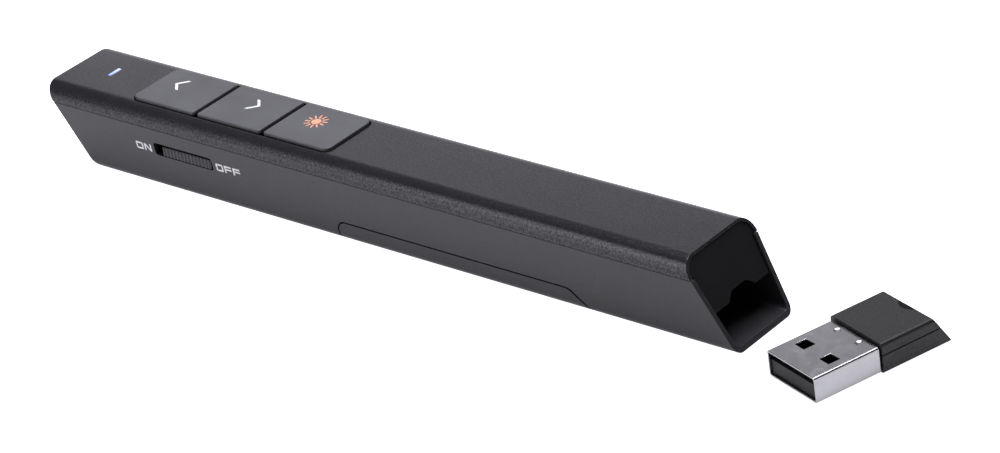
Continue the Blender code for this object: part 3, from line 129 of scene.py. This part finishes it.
# %% Lamps: one overhead, one panel behind and two cards on the near side
def soft_lamp(name, place, target, width, height, radiance):
    """A flat lamp whose face is as bright as radiance, aimed at a point."""
    bpy.ops.object.light_add(type="AREA", location=place)
    lamp = bpy.context.object
    lamp.name = name
    lamp.data.shape = "RECTANGLE"
    lamp.data.size = width
    lamp.data.size_y = height
    lamp.data.energy = math.pi * width * height * radiance
    lamp.data.color = LIGHT_TINT
    aim = Vector(target) - Vector(place)
    lamp.rotation_euler = aim.to_track_quat("-Z", "Y").to_euler()


MIDDLE = (0.04, 0, 0)
REAR_TOP = (0.09, 0, 0.014)
# Each lamp's name, place, target, width, height and radiance.
LAMPS = (
    ("overhead_lamp", (0.02, 0.22, 0.93), MIDDLE, 0.7, 0.7, 7.2),
    ("back_panel", (-0.72, 0.78, 0.22), MIDDLE, 0.9, 0.9, 0.73),
    ("high_card", (-0.19, -0.41, 0.325), REAR_TOP, 0.32, 0.32, 2.6),
    ("low_card", (-0.53, -0.85, 0.14), MIDDLE, 0.5, 0.27, 1.9),
)
for lamp in LAMPS:
    soft_lamp(*lamp)

# %% Floor: white paper that glows for the camera, and less so where the object mirrors it
FLOOR_SIZE = 6
FLOOR_DEPTH = 0.1 * MM
PAPER_COLOUR = (0.68, 0.68, 0.68, 1)
CAMERA_GLOW = 1.1
MIRRORED_GLOW = 0.44

bpy.ops.mesh.primitive_plane_add(size=FLOOR_SIZE, location=(0, 0, -FLOOR_DEPTH))
floor = bpy.context.object
floor.name = "floor"
paper = bpy.data.materials.new("floor_paper")
paper.use_nodes = True
tree = paper.node_tree
tree.nodes.clear()
path = add_node(tree, "ShaderNodeLightPath")
matte = add_node(tree, "ShaderNodeBsdfDiffuse", Color=PAPER_COLOUR)
glow = add_node(tree, "ShaderNodeEmission", Color=(*LIGHT_TINT, 1))
strength = add_node(tree, "ShaderNodeMath", operation="MULTIPLY_ADD")
strength.inputs[1].default_value = CAMERA_GLOW - MIRRORED_GLOW
strength.inputs[2].default_value = MIRRORED_GLOW
both = add_node(tree, "ShaderNodeAddShader")
mix = add_node(tree, "ShaderNodeMixShader")
seen = add_node(tree, "ShaderNodeMath", operation="MAXIMUM")
out = add_node(tree, "ShaderNodeOutputMaterial")
tree.links.new(matte.outputs[0], both.inputs[0])
tree.links.new(glow.outputs[0], both.inputs[1])
tree.links.new(path.outputs["Is Camera Ray"], strength.inputs[0])
tree.links.new(strength.outputs[0], glow.inputs["Strength"])
tree.links.new(path.outputs["Is Camera Ray"], seen.inputs[0])
tree.links.new(path.outputs["Is Glossy Ray"], seen.inputs[1])
tree.links.new(seen.outputs[0], mix.inputs["Fac"])
tree.links.new(matte.outputs[0], mix.inputs[1])
tree.links.new(both.outputs[0], mix.inputs[2])
tree.links.new(mix.outputs[0], out.inputs["Surface"])
floor.data.materials.append(paper)
print("floor is", FLOOR_SIZE, "m wide")

# %% [markdown]
# ## Moulded plastics
#
# Each plastic is one shader: a base colour that varies a little in soft clouds, a fine grain
# that the mould's spark-eroded steel leaves, and a roughness that the grain changes slightly.
# The lower case is satin, the cover is grainier and shinier, and the keys are smooth and
# lighter. The patterns read Object coordinates, which on these pieces are real metres, so a
# grain is given by its real size.

# %% Helpers for every finish
LOW_STOP = 0.3
HIGH_STOP = 0.7


def new_material(name):
    """A material with a Principled shader, and its tree and shader for the caller."""
    material = bpy.data.materials.new(name)
    material.use_nodes = True
    tree = material.node_tree
    return material, tree, tree.nodes["Principled BSDF"]


def noise(tree, size, detail=2, roughness=0.5, stretch=(1, 1, 1), turn=0):
    """Noise whose blobs are about size metres across, stretched and turned about Z."""
    place = add_node(tree, "ShaderNodeTexCoord")
    mapping = add_node(tree, "ShaderNodeMapping")
    mapping.inputs["Rotation"].default_value = (0, 0, -turn)
    mapping.inputs["Scale"].default_value = [1 / share for share in stretch]
    cloud = add_node(
        tree, "ShaderNodeTexNoise", Scale=1 / size, Detail=detail, Roughness=roughness
    )
    tree.links.new(place.outputs["Object"], mapping.inputs["Vector"])
    tree.links.new(mapping.outputs["Vector"], cloud.inputs["Vector"])
    return cloud.outputs["Fac"]


def ramp(tree, factor, stops):
    """A colour ramp over the factor. Each stop is (position, colour)."""
    node = add_node(tree, "ShaderNodeValToRGB")
    tree.links.new(factor, node.inputs["Fac"])
    band = node.color_ramp
    while len(band.elements) < len(stops):
        band.elements.new(0.5)
    for element, (position, colour) in zip(band.elements, stops):
        element.position = position
        element.color = (*colour, 1)
    return node.outputs["Color"]


def between(tree, factor, low, high, start=LOW_STOP, end=HIGH_STOP):
    """Goes from one colour to another while the factor goes from start to end."""
    return ramp(tree, factor, [(start, low), (end, high)])


def along(tree, axis, start, end, **values):
    """How far a point has come from start to end along an axis of the piece, from 0 to 1."""
    place = add_node(tree, "ShaderNodeTexCoord")
    split = add_node(tree, "ShaderNodeSeparateXYZ")
    reach = add_node(tree, "ShaderNodeMapRange", From_Min=start, From_Max=end, **values)
    tree.links.new(place.outputs["Object"], split.inputs["Vector"])
    tree.links.new(split.outputs[axis], reach.inputs["Value"])
    return reach.outputs["Result"]


def shade(colour, factor):
    return tuple(channel * factor for channel in colour)


def grey(value):
    return (value, value, value)


def bump(tree, shader, height, depth):
    """Raises the surface by height times depth metres."""
    node = add_node(tree, "ShaderNodeBump", Strength=1.0, Distance=depth)
    tree.links.new(height, node.inputs["Height"])
    tree.links.new(node.outputs["Normal"], shader.inputs["Normal"])


print("a pattern runs from", LOW_STOP, "to", HIGH_STOP, "unless its finish says otherwise")

# %% Plastic shader
CLOUD_SIZE = 6 * MM
CLOUD_CONTRAST = 0.1
GRAIN_ROUGHNESS = 0.65
SMOOTHEST = 0.86
ROUGHEST = 1.12
SHEEN_STOPS = (0.36, 0.66)
GAP_SHADE = 0.15 * MM
GAP_DARKEST = 0.1


def shaded_below(tree, colour, height):
    """Darkens a colour below a height, where a piece sits in the shade of a gap."""
    light = along(tree, "Z", height - GAP_SHADE, height, To_Min=GAP_DARKEST)
    darker = add_node(tree, "ShaderNodeVectorMath", operation="SCALE")
    tree.links.new(colour, darker.inputs[0])
    tree.links.new(light, darker.inputs["Scale"])
    return darker.outputs["Vector"]


def plastic(
    name, colour, roughness, grain_size, grain_depth, specular=0.5, sparkle=0.15, shaded=None
):
    """Moulded plastic with mould grain, soft clouds in its colour and a sheen that sparkles."""
    material, tree, shader = new_material(name)
    clouds = noise(tree, CLOUD_SIZE, 3)
    darkest, palest = shade(colour, 1 - CLOUD_CONTRAST), shade(colour, 1 + CLOUD_CONTRAST)
    tint = between(tree, clouds, darkest, palest)
    if shaded:
        tint = shaded_below(tree, tint, shaded)
    tree.links.new(tint, shader.inputs["Base Color"])
    grain = noise(tree, grain_size, 3, GRAIN_ROUGHNESS)
    spread = between(tree, grain, grey(roughness * SMOOTHEST), grey(roughness * ROUGHEST))
    tree.links.new(spread, shader.inputs["Roughness"])
    low, high = specular * (1 - sparkle), specular * (1 + sparkle)
    sheen = between(tree, grain, grey(low), grey(high), *SHEEN_STOPS)
    if shaded:
        sheen = shaded_below(tree, sheen, shaded)
    tree.links.new(sheen, shader.inputs["Specular IOR Level"])
    bump(tree, shader, grain, grain_depth)
    return material


CHARCOAL = (0.018, 0.0175, 0.0205)
case_plastic = plastic("case_plastic", CHARCOAL, 0.34, 0.2 * MM, 0.006 * MM)
cover_plastic = plastic("cover_plastic", CHARCOAL, 0.22, 0.34 * MM, 0.022 * MM, 0.5, 0.52)
dark_plastic = plastic(
    "dark_plastic", (0.0072, 0.0068, 0.0082), 0.6, 0.2 * MM, 0.01 * MM, 0.13
)
COVER_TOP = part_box("top_cover")[1].z
key_plastic = plastic(
    "key_plastic", (0.09, 0.092, 0.0985), 0.42, 0.16 * MM, 0.005 * MM, shaded=COVER_TOP
)
receiver_plastic = plastic(
    "receiver_plastic", (0.0106, 0.011, 0.0119), 0.42, 0.24 * MM, 0.014 * MM, 0.4, 0.4
)
black_plastic = plastic(
    "black_plastic", (0.012, 0.012, 0.0135), 0.42, 0.16 * MM, 0.004 * MM, 0.2
)
chip_epoxy = plastic("chip_epoxy", (0.02, 0.02, 0.021), 0.55, 0.1 * MM, 0.006 * MM, 0.4)
print("plastics:", [m.name for m in bpy.data.materials if "plastic" in m.name])

# %% [markdown]
# ## Metals
#
# The plug's shell is rolled and plated steel. Rolling leaves faint streaks along the sheet,
# and handling leaves cloudy patches where the plating is duller. Both go into the roughness
# and a very shallow bump. The streaks follow the plug, which lies turned on the desk.

# %% Metal shader
PLUG_TURN = math.radians(72.9)
PATCH_SIZE = 2.2 * MM
PATCH_ROUGHNESS = 0.55
METAL_DARKEST = 0.94
METAL_PALEST = 1.04
POLISHED = 0.8
DULLED = 1.35
DULL_STOP = 0.72
STREAK_SIZE = 0.1 * MM
STREAK_DEPTH = 0.001 * MM


def metal(name, colour, roughness, streak, turn=0):
    """Plated or bare metal with streaks and cloudy patches."""
    material, tree, shader = new_material(name)
    shader.inputs["Metallic"].default_value = 1
    patches = noise(tree, PATCH_SIZE, 3, PATCH_ROUGHNESS)
    tint = between(tree, patches, shade(colour, METAL_DARKEST), shade(colour, METAL_PALEST))
    tree.links.new(tint, shader.inputs["Base Color"])
    low, high = grey(roughness * POLISHED), grey(roughness * DULLED)
    spread = between(tree, patches, low, high, end=DULL_STOP)
    tree.links.new(spread, shader.inputs["Roughness"])
    lines = noise(tree, STREAK_SIZE, 3, 0.6, streak, turn)
    bump(tree, shader, lines, STREAK_DEPTH)
    return material


plug_steel = metal("plug_steel", (0.435, 0.435, 0.445), 0.22, (30, 1, 1), PLUG_TURN)
plain_steel = metal("plain_steel", (0.62, 0.62, 0.63), 0.3, (6, 1, 1))
gold_plate = metal("gold_plate", (0.85, 0.62, 0.26), 0.18, (8, 1, 1), PLUG_TURN)
turned_brass = metal("turned_brass", (0.62, 0.45, 0.2), 0.28, (1, 10, 10))
print("metals:", [m.name for m in (plug_steel, plain_steel, gold_plate, turned_brass)])

# %% [markdown]
# ## Board, cell, wires, glass and light
#
# The pieces inside show when the battery door is off. The boards are glass cloth under green
# lacquer, so a woven pattern shows faintly. The cell has a printed jacket with a bright end.
# The light pipe is clear acrylic, lit from below in pale blue. Only its top part glows, so
# that no blue light leaks through the parting line.

# %% Board lacquer
CLOTH_PITCH = 0.5 * MM
CLOTH_ROW = 0.25 * MM
THREAD_GAP = 0.03 * MM
DARK_GREEN = (0.012, 0.1, 0.04, 1)
GREEN = (0.014, 0.115, 0.048, 1)
PALE_GREEN = (0.02, 0.15, 0.06, 1)


def board_lacquer():
    material, tree, shader = new_material("board_lacquer")
    place = add_node(tree, "ShaderNodeTexCoord")
    weave = add_node(
        tree, "ShaderNodeTexBrick", Scale=1.0,
        Brick_Width=CLOTH_PITCH, Row_Height=CLOTH_ROW, Mortar_Size=THREAD_GAP,
        Color1=DARK_GREEN, Color2=GREEN, Mortar=PALE_GREEN,
    )
    tree.links.new(place.outputs["Object"], weave.inputs["Vector"])
    tree.links.new(weave.outputs["Color"], shader.inputs["Base Color"])
    shader.inputs["Roughness"].default_value = 0.3
    shader.inputs["Coat Weight"].default_value = 0.4
    bump(tree, shader, noise(tree, 0.4 * MM), 0.004 * MM)
    return material


# %% Cell jacket, printed in bands along the cell
JACKET_BAND = 1.2 * MM
COPPER_START = 0.7
JACKET_STEEL = (0.6, 0.6, 0.62)
JACKET_BLACK = (0.02, 0.021, 0.025)
JACKET_COPPER = (0.5, 0.23, 0.09)
SCUFF_SIZE = 1.5 * MM
SCUFF_STOP = 0.75


def cell_jacket():
    material, tree, shader = new_material("cell_jacket")
    low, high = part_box("battery_cell")
    band = JACKET_BAND / (high.x - low.x)
    colour = ramp(tree, along(tree, "X", low.x, high.x), [
        (0, JACKET_STEEL), (band, JACKET_BLACK),
        (COPPER_START, JACKET_COPPER), (1 - 2 * band, JACKET_STEEL),
    ])
    colour.node.color_ramp.interpolation = "CONSTANT"
    tree.links.new(colour, shader.inputs["Base Color"])
    shader.inputs["Metallic"].default_value = 0.55
    scuffs = between(tree, noise(tree, SCUFF_SIZE, 4), grey(0.22), grey(0.42), end=SCUFF_STOP)
    tree.links.new(scuffs, shader.inputs["Roughness"])
    bump(tree, shader, noise(tree, 0.3 * MM), 0.003 * MM)
    return material


# %% Wires, light pipe, window and lens
HAZE_SIZE = 0.8 * MM
HAZE_DARKEST = 0.92
ACRYLIC_IOR = 1.49
LIT_DEPTH = 3 * MM
PIPE_GLOW = 0.6
NEAR_BLUE = (0.12, 0.2, 0.62)
MIDDLE_BLUE = (0.36, 0.42, 0.8)
FAR_BLUE = (0.52, 0.58, 0.86)


def wire(name, colour):
    return plastic(name, colour, 0.4, 0.3 * MM, 0.005 * MM)


def clear(name, colour, transmission, roughness):
    """Acrylic, resin or glass with faint clouds."""
    material, tree, shader = new_material(name)
    tint = between(tree, noise(tree, HAZE_SIZE), shade(colour, HAZE_DARKEST), colour)
    tree.links.new(tint, shader.inputs["Base Color"])
    shader.inputs["Transmission Weight"].default_value = transmission
    shader.inputs["Roughness"].default_value = roughness
    shader.inputs["IOR"].default_value = ACRYLIC_IOR
    return material


def glowing_pipe():
    """The light pipe, bluest at its near end and palest at its far end."""
    material, tree, shader = new_material("lit_pipe")
    low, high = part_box("light_pipe")
    colour = ramp(tree, along(tree, "Y", low.y, high.y), [
        (0, NEAR_BLUE), (0.45, MIDDLE_BLUE), (1, FAR_BLUE),
    ])
    tree.links.new(colour, shader.inputs["Base Color"])
    tree.links.new(colour, shader.inputs["Emission Color"])
    glow = along(tree, "Z", high.z - LIT_DEPTH, high.z, To_Max=PIPE_GLOW)
    tree.links.new(glow, shader.inputs["Emission Strength"])
    shader.inputs["Roughness"].default_value = 0.3
    bump(tree, shader, noise(tree, 0.3 * MM), 0.003 * MM)
    return material


red_wire = wire("red_wire", (0.5, 0.02, 0.02))
black_wire = wire("black_wire", (0.02, 0.02, 0.022))
lit_pipe = glowing_pipe()
window_tint = clear("window_tint", (0.22, 0.02, 0.03), 0.55, 0.08)
lens_glass = clear("lens_glass", (0.9, 0.92, 0.94), 0.9, 0.02)
led_resin = clear("led_resin", (0.8, 0.82, 0.72), 0.3, 0.3)
lacquer = board_lacquer()
jacket = cell_jacket()
print(len(bpy.data.materials), "materials so far")

# %% [markdown]
# ## Give every node its finish
#
# The record names a material slot for each node. A table takes each slot to its finish, so a
# node gets the right one without being named again.

# %% Finish by slot
FINISHES = {
    "case_plastic": case_plastic,
    "cover_plastic": cover_plastic,
    "dark_plastic": dark_plastic,
    "key_plastic": key_plastic,
    "black_plastic": black_plastic,
    "receiver_plastic": receiver_plastic,
    "plug_steel": plug_steel,
    "plain_steel": plain_steel,
    "gold": gold_plate,
    "barrel_brass": turned_brass,
    "board": lacquer,
    "chip": chip_epoxy,
    "led": led_resin,
    "lit_pipe": lit_pipe,
    "window": window_tint,
    "lens": lens_glass,
    "cell_jacket": jacket,
    "red_wire": red_wire,
    "black_wire": black_wire,
}
slot_of = {item["node"]: item["material_slot"] for item in frame["record"]["subparts"]}
body_of = {node: body for body, members in bodies.items() for node in members}
for name, node in nodes.items():
    node.data.materials.clear()
    node.data.materials.append(FINISHES[slot_of[name]])
print("finished", len(nodes), "nodes")

# %% [markdown]
# ## Soften the moulded edges
#
# No moulded or pressed edge is perfectly sharp, and its small radius catches the light. A
# copy of each piece in view is merged and its flat triangles are dissolved into whole
# faces. Its sharp edges get a narrow bevel, and weighted normals keep the flats flat and
# the fillets round. The copy then stands for its node.

# %% Copy and soften one piece
MERGE_DISTANCE = 0.002 * MM
FLAT_DEGREES = 1
SHARP_DEGREES = 40
SMOOTH_DEGREES = 50
EDGE_SEGMENTS = 2


def deselect():
    bpy.ops.object.select_all(action="DESELECT")


def soften(node, edge_radius, change=None):
    """Replaces a node with a copy that has narrow rounded edges."""
    deselect()
    source = nodes[node]
    piece = source.copy()
    piece.data = source.data.copy()
    piece.name = node + "_finished"
    piece.parent = None
    bpy.context.scene.collection.objects.link(piece)
    piece.select_set(True)
    bpy.context.view_layer.objects.active = piece
    bpy.ops.object.mode_set(mode="EDIT")
    bpy.ops.mesh.select_all(action="SELECT")
    bpy.ops.mesh.remove_doubles(threshold=MERGE_DISTANCE)
    bpy.ops.mesh.dissolve_limited(angle_limit=math.radians(FLAT_DEGREES))
    bpy.ops.object.mode_set(mode="OBJECT")
    if change:
        change(piece)
    rounding = piece.modifiers.new("edge", "BEVEL")
    rounding.limit_method = "ANGLE"
    rounding.angle_limit = math.radians(SHARP_DEGREES)
    rounding.width = edge_radius
    rounding.segments = EDGE_SEGMENTS
    rounding.use_clamp_overlap = False
    bpy.ops.object.modifier_apply(modifier="edge")
    bpy.ops.object.shade_smooth_by_angle(angle=math.radians(SMOOTH_DEGREES))
    weights = piece.modifiers.new("flats", "WEIGHTED_NORMAL")
    weights.keep_sharp = True
    bpy.ops.object.modifier_apply(modifier="flats")
    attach(piece, body_of[node])
    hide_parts(node)
    print(node, "softened:", len(piece.data.polygons), "faces")


# %% [markdown]
# ## Two small changes first
#
# The slider's pad sits a little low and leans back at its top, as a loose pad does, so the
# slot's upper edge shades it. The receiver's pull notch gets painted shade: its floor and
# walls take the darker plastic, which stands in for the shadow that falls in it. Both are
# changes to the copies alone, made before the edges are softened, so the bevel follows them.

# %% Changes to two pieces
PAD_DEPTH = 1.0 * MM
PAD_SETTLE = 0.19 * MM
PAD_TIP = 0.2 * MM
PAD_LEAN = 0.34 * MM
PAD_TRIM = 0.3 * MM
UNDERSIDE_HALF = 7.44 * MM
PARTING_HALF = 8.74 * MM
PARTING_HEIGHT = 12.51 * MM
NOTCH_MIDDLE = (128.2 * MM, 9.8 * MM)
NOTCH_REACH = 2.4 * MM
NOTCH_DEPTH = 0.5 * MM
NOTCH_SKIN = 0.02 * MM
NOTCH_LARGEST_FACE = 4 * MM * MM


def wall_y(height):
    """Where the lower case's near side stands at a height. The wall leans out towards the top."""
    return -(UNDERSIDE_HALF + (PARTING_HALF - UNDERSIDE_HALF) * height / PARTING_HEIGHT)


def settled_pad(piece):
    """Rests the slider's pad low and leans its face, so the slot's upper edge shades it."""
    pad = [vert for vert in piece.data.vertices if vert.co.y < wall_y(vert.co.z) + PAD_DEPTH]
    front = min(vert.co.x for vert in pad)
    length = max(vert.co.x for vert in pad) - front
    low = min(vert.co.z for vert in pad)
    height = max(vert.co.z for vert in pad) - low
    for vert in pad:
        share = (vert.co.z - low) / height
        if vert.co.y < wall_y(vert.co.z) + PAD_DEPTH / 2:
            vert.co.y += PAD_LEAN * share - PAD_TIP
        vert.co.z -= PAD_SETTLE + PAD_TRIM * share
        vert.co.x -= PAD_TRIM * (vert.co.x - front) / length


def notch_painted_shade(piece):
    """Paints shade into the pull notch: its floor and walls take the darker plastic."""
    # The darker plastic here is painted shade in the notch.
    piece.data.materials.append(dark_plastic)
    top = max(vert.co.z for vert in piece.data.vertices)
    for face in piece.data.polygons:
        near = (face.center.xy - Vector(NOTCH_MIDDLE)).length < NOTCH_REACH
        sunk = top - NOTCH_DEPTH < face.center.z < top - NOTCH_SKIN
        if near and sunk and face.area < NOTCH_LARGEST_FACE:
            face.material_index = 1


print("the wall leans out", round((PARTING_HALF - UNDERSIDE_HALF) / MM, 2), "mm up to the cover")

# %% The pieces in view
EDGE_RADII = {
    "bottom_case": 0.07 * MM,
    "top_cover": 0.07 * MM,
    "rear_plate": 0.06 * MM,
    "battery_door": 0.06 * MM,
    "page_up_key": 0.05 * MM,
    "page_down_key": 0.05 * MM,
    "laser_key": 0.05 * MM,
    "power_slider": 0.04 * MM,
    "receiver_base": 0.06 * MM,
    "receiver_cover": 0.06 * MM,
    "plug_shell": 0.08 * MM,
    "plug_tongue": 0.05 * MM,
}
CHANGES = {"power_slider": settled_pad, "receiver_cover": notch_painted_shade}
for node, radius in EDGE_RADII.items():
    soften(node, radius, CHANGES.get(node))

# %% [markdown]
# ## Printed marks
#
# The marks are thin ink, a few hundredths of a millimetre high, so they are modelled as flat
# shapes cut from a grid and pushed up a little. The side carries ON and OFF beside the
# power slider. The keys carry two chevrons for paging and a laser-spot sign with rays.

# %% Ink
INK_PATCH = 0.5 * MM
INK_DARKEST = 0.88
INK_STOP = 0.65
INK_HEIGHT = 0.02 * MM
SUNK = 0.01 * MM


def ink(name, colour):
    """Pad-printed ink, slightly uneven in tone."""
    material, tree, shader = new_material(name)
    patches = noise(tree, INK_PATCH, 3)
    tint = between(tree, patches, shade(colour, INK_DARKEST), colour, end=INK_STOP)
    tree.links.new(tint, shader.inputs["Base Color"])
    shader.inputs["Roughness"].default_value = 0.5
    bump(tree, shader, noise(tree, 0.12 * MM), 0.003 * MM)
    return material


white_ink = ink("white_ink", (0.93, 0.93, 0.94))
orange_ink = ink("orange_ink", (0.93, 0.43, 0.27))
print("the ink stands", round(INK_HEIGHT / MM, 3), "mm high")

# %% Letters cut from a grid
LETTER_WIDTH = 1.7 * MM
LETTER_HEIGHT = 1.5 * MM
LETTER_GAP = 0.32 * MM
STROKE = 0.34 * MM
SLANT_END = 1.4 * STROKE
NEARLY = STROKE / 10
CORNER_SEGMENTS = 4


def sheet_of_cells(columns, rows):
    """A flat grid whose lines stand at the given places."""
    deselect()
    across, up = len(columns) - 1, len(rows) - 1
    bpy.ops.mesh.primitive_grid_add(x_subdivisions=across, y_subdivisions=up, size=2)
    sheet = bpy.context.object
    for vert in sheet.data.vertices:
        column = round((vert.co.x + 1) / 2 * across)
        row = round((vert.co.y + 1) / 2 * up)
        vert.co = (columns[column], rows[row], 0)
    return sheet


def keep_cells(sheet, kept):
    """Deletes the cells whose middle isn't kept."""
    bpy.ops.object.mode_set(mode="EDIT")
    bpy.ops.mesh.select_mode(type="FACE")
    shape = bmesh.from_edit_mesh(sheet.data)
    for face in shape.faces:
        middle = face.calc_center_median()
        face.select_set(not kept(middle.x, middle.y))
    bmesh.update_edit_mesh(sheet.data)
    bpy.ops.mesh.delete(type="FACE")
    bpy.ops.object.mode_set(mode="OBJECT")


def letter_f():
    columns = (0, STROKE, LETTER_WIDTH)
    middle = LETTER_HEIGHT / 2
    rows = (0, middle - STROKE / 2, middle + STROKE / 2, LETTER_HEIGHT - STROKE, LETTER_HEIGHT)
    sheet = sheet_of_cells(columns, rows)
    keep_cells(sheet, lambda x, y: x < STROKE or abs(y - middle) < STROKE / 2 or y > rows[3])
    return sheet


def letter_o():
    columns = (0, STROKE, LETTER_WIDTH - STROKE, LETTER_WIDTH)
    rows = (0, STROKE, LETTER_HEIGHT - STROKE, LETTER_HEIGHT)
    sheet = sheet_of_cells(columns, rows)
    keep_cells(sheet, lambda x, y: not (columns[1] < x < columns[2] and rows[1] < y < rows[2]))
    return sheet


def letter_n():
    columns = (0, STROKE, LETTER_WIDTH - STROKE, LETTER_WIDTH)
    rows = (0, SLANT_END, LETTER_HEIGHT - SLANT_END, LETTER_HEIGHT)
    sheet = sheet_of_cells(columns, rows)
    keep_cells(sheet, lambda x, y: x < columns[1] or x > columns[2])
    bpy.ops.object.mode_set(mode="EDIT")
    shape = bmesh.from_edit_mesh(sheet.data)
    left, right = columns[1:3]
    corners = ((left, rows[3]), (left, rows[2]), (right, rows[0]), (right, rows[1]))
    for vert in shape.verts:
        near = [corner for corner in corners if (Vector(corner) - vert.co.xy).length < NEARLY]
        vert.select_set(bool(near))
    bmesh.update_edit_mesh(sheet.data)
    bpy.ops.mesh.edge_face_add()
    bpy.ops.object.mode_set(mode="OBJECT")
    return sheet


def round_corners(sheet, radius, chosen):
    """Rounds the outline's chosen corners."""
    bpy.ops.object.mode_set(mode="EDIT")
    bpy.ops.mesh.select_mode(type="VERT")
    shape = bmesh.from_edit_mesh(sheet.data)
    for vert in shape.verts:
        vert.select_set(chosen(vert.co))
    bmesh.update_edit_mesh(sheet.data)
    bpy.ops.mesh.bevel(offset=radius, segments=CORNER_SEGMENTS, affect="VERTICES")
    bpy.ops.object.mode_set(mode="OBJECT")


def thicken(sheet):
    """Pushes a flat shape up into a thin solid that starts just inside its carrier."""
    lift = {"value": (0, 0, INK_HEIGHT + SUNK)}
    bpy.ops.object.mode_set(mode="EDIT")
    bpy.ops.mesh.select_all(action="SELECT")
    bpy.ops.mesh.normals_make_consistent(inside=False)
    bpy.ops.mesh.extrude_region_move(TRANSFORM_OT_translate=lift)
    bpy.ops.mesh.select_all(action="SELECT")
    bpy.ops.mesh.normals_make_consistent(inside=False)
    bpy.ops.object.mode_set(mode="OBJECT")


print("letters are", round(LETTER_HEIGHT / MM, 2), "mm high")

# %% [markdown]
# ## Stand the words on the side
#
# The lower case's sides lean out towards the top. Each word is built flat, then turned up
# onto the wall by the wall's own lean, and its place goes into its mesh.

# %% ON and OFF
WALL_LEAN = math.atan2(PARTING_HALF - UNDERSIDE_HALF, PARTING_HEIGHT)
WORD_HEIGHT = 7.45 * MM
ON_START = -21.7 * MM
OFF_START = -2.2 * MM


def settle(piece, matrix):
    """Puts a piece's place into its mesh, with its object at the origin."""
    piece.data.transform(matrix)
    piece.matrix_world = Matrix.Identity(4)


def joined(pieces):
    """The pieces as one object, which is the first of them."""
    deselect()
    for piece in pieces:
        piece.select_set(True)
    bpy.context.view_layer.objects.active = pieces[0]
    bpy.ops.object.join()
    return pieces[0]


def is_outer_corner(co):
    at_side = co.x < NEARLY or co.x > LETTER_WIDTH - NEARLY
    at_end = co.y < NEARLY or co.y > LETTER_HEIGHT - NEARLY
    return at_side and at_end


def word_on_side(name, letters, start_x):
    placed = []
    for index, letter in enumerate(letters):
        sheet = letter()
        if letter is letter_o:
            round_corners(sheet, LETTER_HEIGHT / 4, is_outer_corner)
        thicken(sheet)
        settle(sheet, Matrix.Translation((index * (LETTER_WIDTH + LETTER_GAP), 0, -SUNK)))
        placed.append(sheet)
    word = joined(placed)
    word.name = name
    stand = Matrix.Rotation(math.pi / 2 + WALL_LEAN, 4, "X")
    settle(word, Matrix.Translation((start_x, wall_y(WORD_HEIGHT), WORD_HEIGHT)) @ stand)
    word.data.materials.clear()
    word.data.materials.append(white_ink)
    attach(word, "housing")
    print(name, "printed at x", round(start_x / MM, 2), "mm")


word_on_side("mark_on", (letter_o, letter_n), ON_START)
word_on_side("mark_off", (letter_o, letter_f, letter_f), OFF_START)

# %% [markdown]
# ## Signs on the keys
#
# A chevron is a strip of two cells whose middle line is pushed forward. The laser-spot sign
# is a round core with rays about it, where one ray is modelled and its copies are turned.

# %% Chevrons
CHEVRON_HALF = 1.75 * MM
CHEVRON_DEPTH = 1.6 * MM
CHEVRON_STROKE = 0.68 * MM
SIGN_ASIDE = 1.15 * MM
PAGE_UP_X = -17.75 * MM
PAGE_DOWN_X = -0.1 * MM


def key_sign(sheet, name, key, middle_x, colour):
    """Sets a sign on a key's top and lets it ride with the key."""
    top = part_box(key)[1].z
    settle(sheet, Matrix.Translation((middle_x, SIGN_ASIDE, top - SUNK)))
    sheet.name = name
    sheet.data.materials.clear()
    sheet.data.materials.append(colour)
    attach(sheet, body_of[key])
    print(name, "sits at", round(top / MM, 2), "mm")


def chevron(name, key, middle_x, direction):
    sheet = sheet_of_cells((0, CHEVRON_STROKE), (-CHEVRON_HALF, 0, CHEVRON_HALF))
    for vert in sheet.data.vertices:
        reach = 1 - abs(vert.co.y) / CHEVRON_HALF
        vert.co.x = direction * (vert.co.x + (reach - 0.5) * CHEVRON_DEPTH)
    thicken(sheet)
    key_sign(sheet, name, key, middle_x, white_ink)


chevron("mark_page_up", "page_up_key", PAGE_UP_X, -1)
chevron("mark_page_down", "page_down_key", PAGE_DOWN_X, 1)

# %% Laser-spot sign
CORE_RADIUS = 0.9 * MM
RAY_START = 1.15 * MM
RAY_END = 2.2 * MM
RAY_WIDTH = 0.36 * MM
RAY_TAPER = 0.7
RAY_COUNT = 12
CORE_POINTS = 32
LASER_SIGN_X = 14.55 * MM


def laser_sign():
    deselect()
    bpy.ops.mesh.primitive_circle_add(
        vertices=CORE_POINTS, radius=CORE_RADIUS, fill_type="NGON"
    )
    core = bpy.context.object
    thicken(core)
    pieces = [core]
    for index in range(RAY_COUNT):
        ray = sheet_of_cells((RAY_START, RAY_END), (-RAY_WIDTH / 2, RAY_WIDTH / 2))
        for vert in ray.data.vertices:
            if vert.co.x > (RAY_START + RAY_END) / 2:
                vert.co.y *= RAY_TAPER
        thicken(ray)
        settle(ray, Matrix.Rotation(math.tau * (index + 0.5) / RAY_COUNT, 4, "Z"))
        pieces.append(ray)
    return joined(pieces)


key_sign(laser_sign(), "mark_laser", "laser_key", LASER_SIGN_X, orange_ink)

# %% [markdown]
# ## Look
#
# The view transform is Standard, so a colour renders as it is written.

# %% Finish
bpy.context.scene.view_settings.view_transform = "Standard"
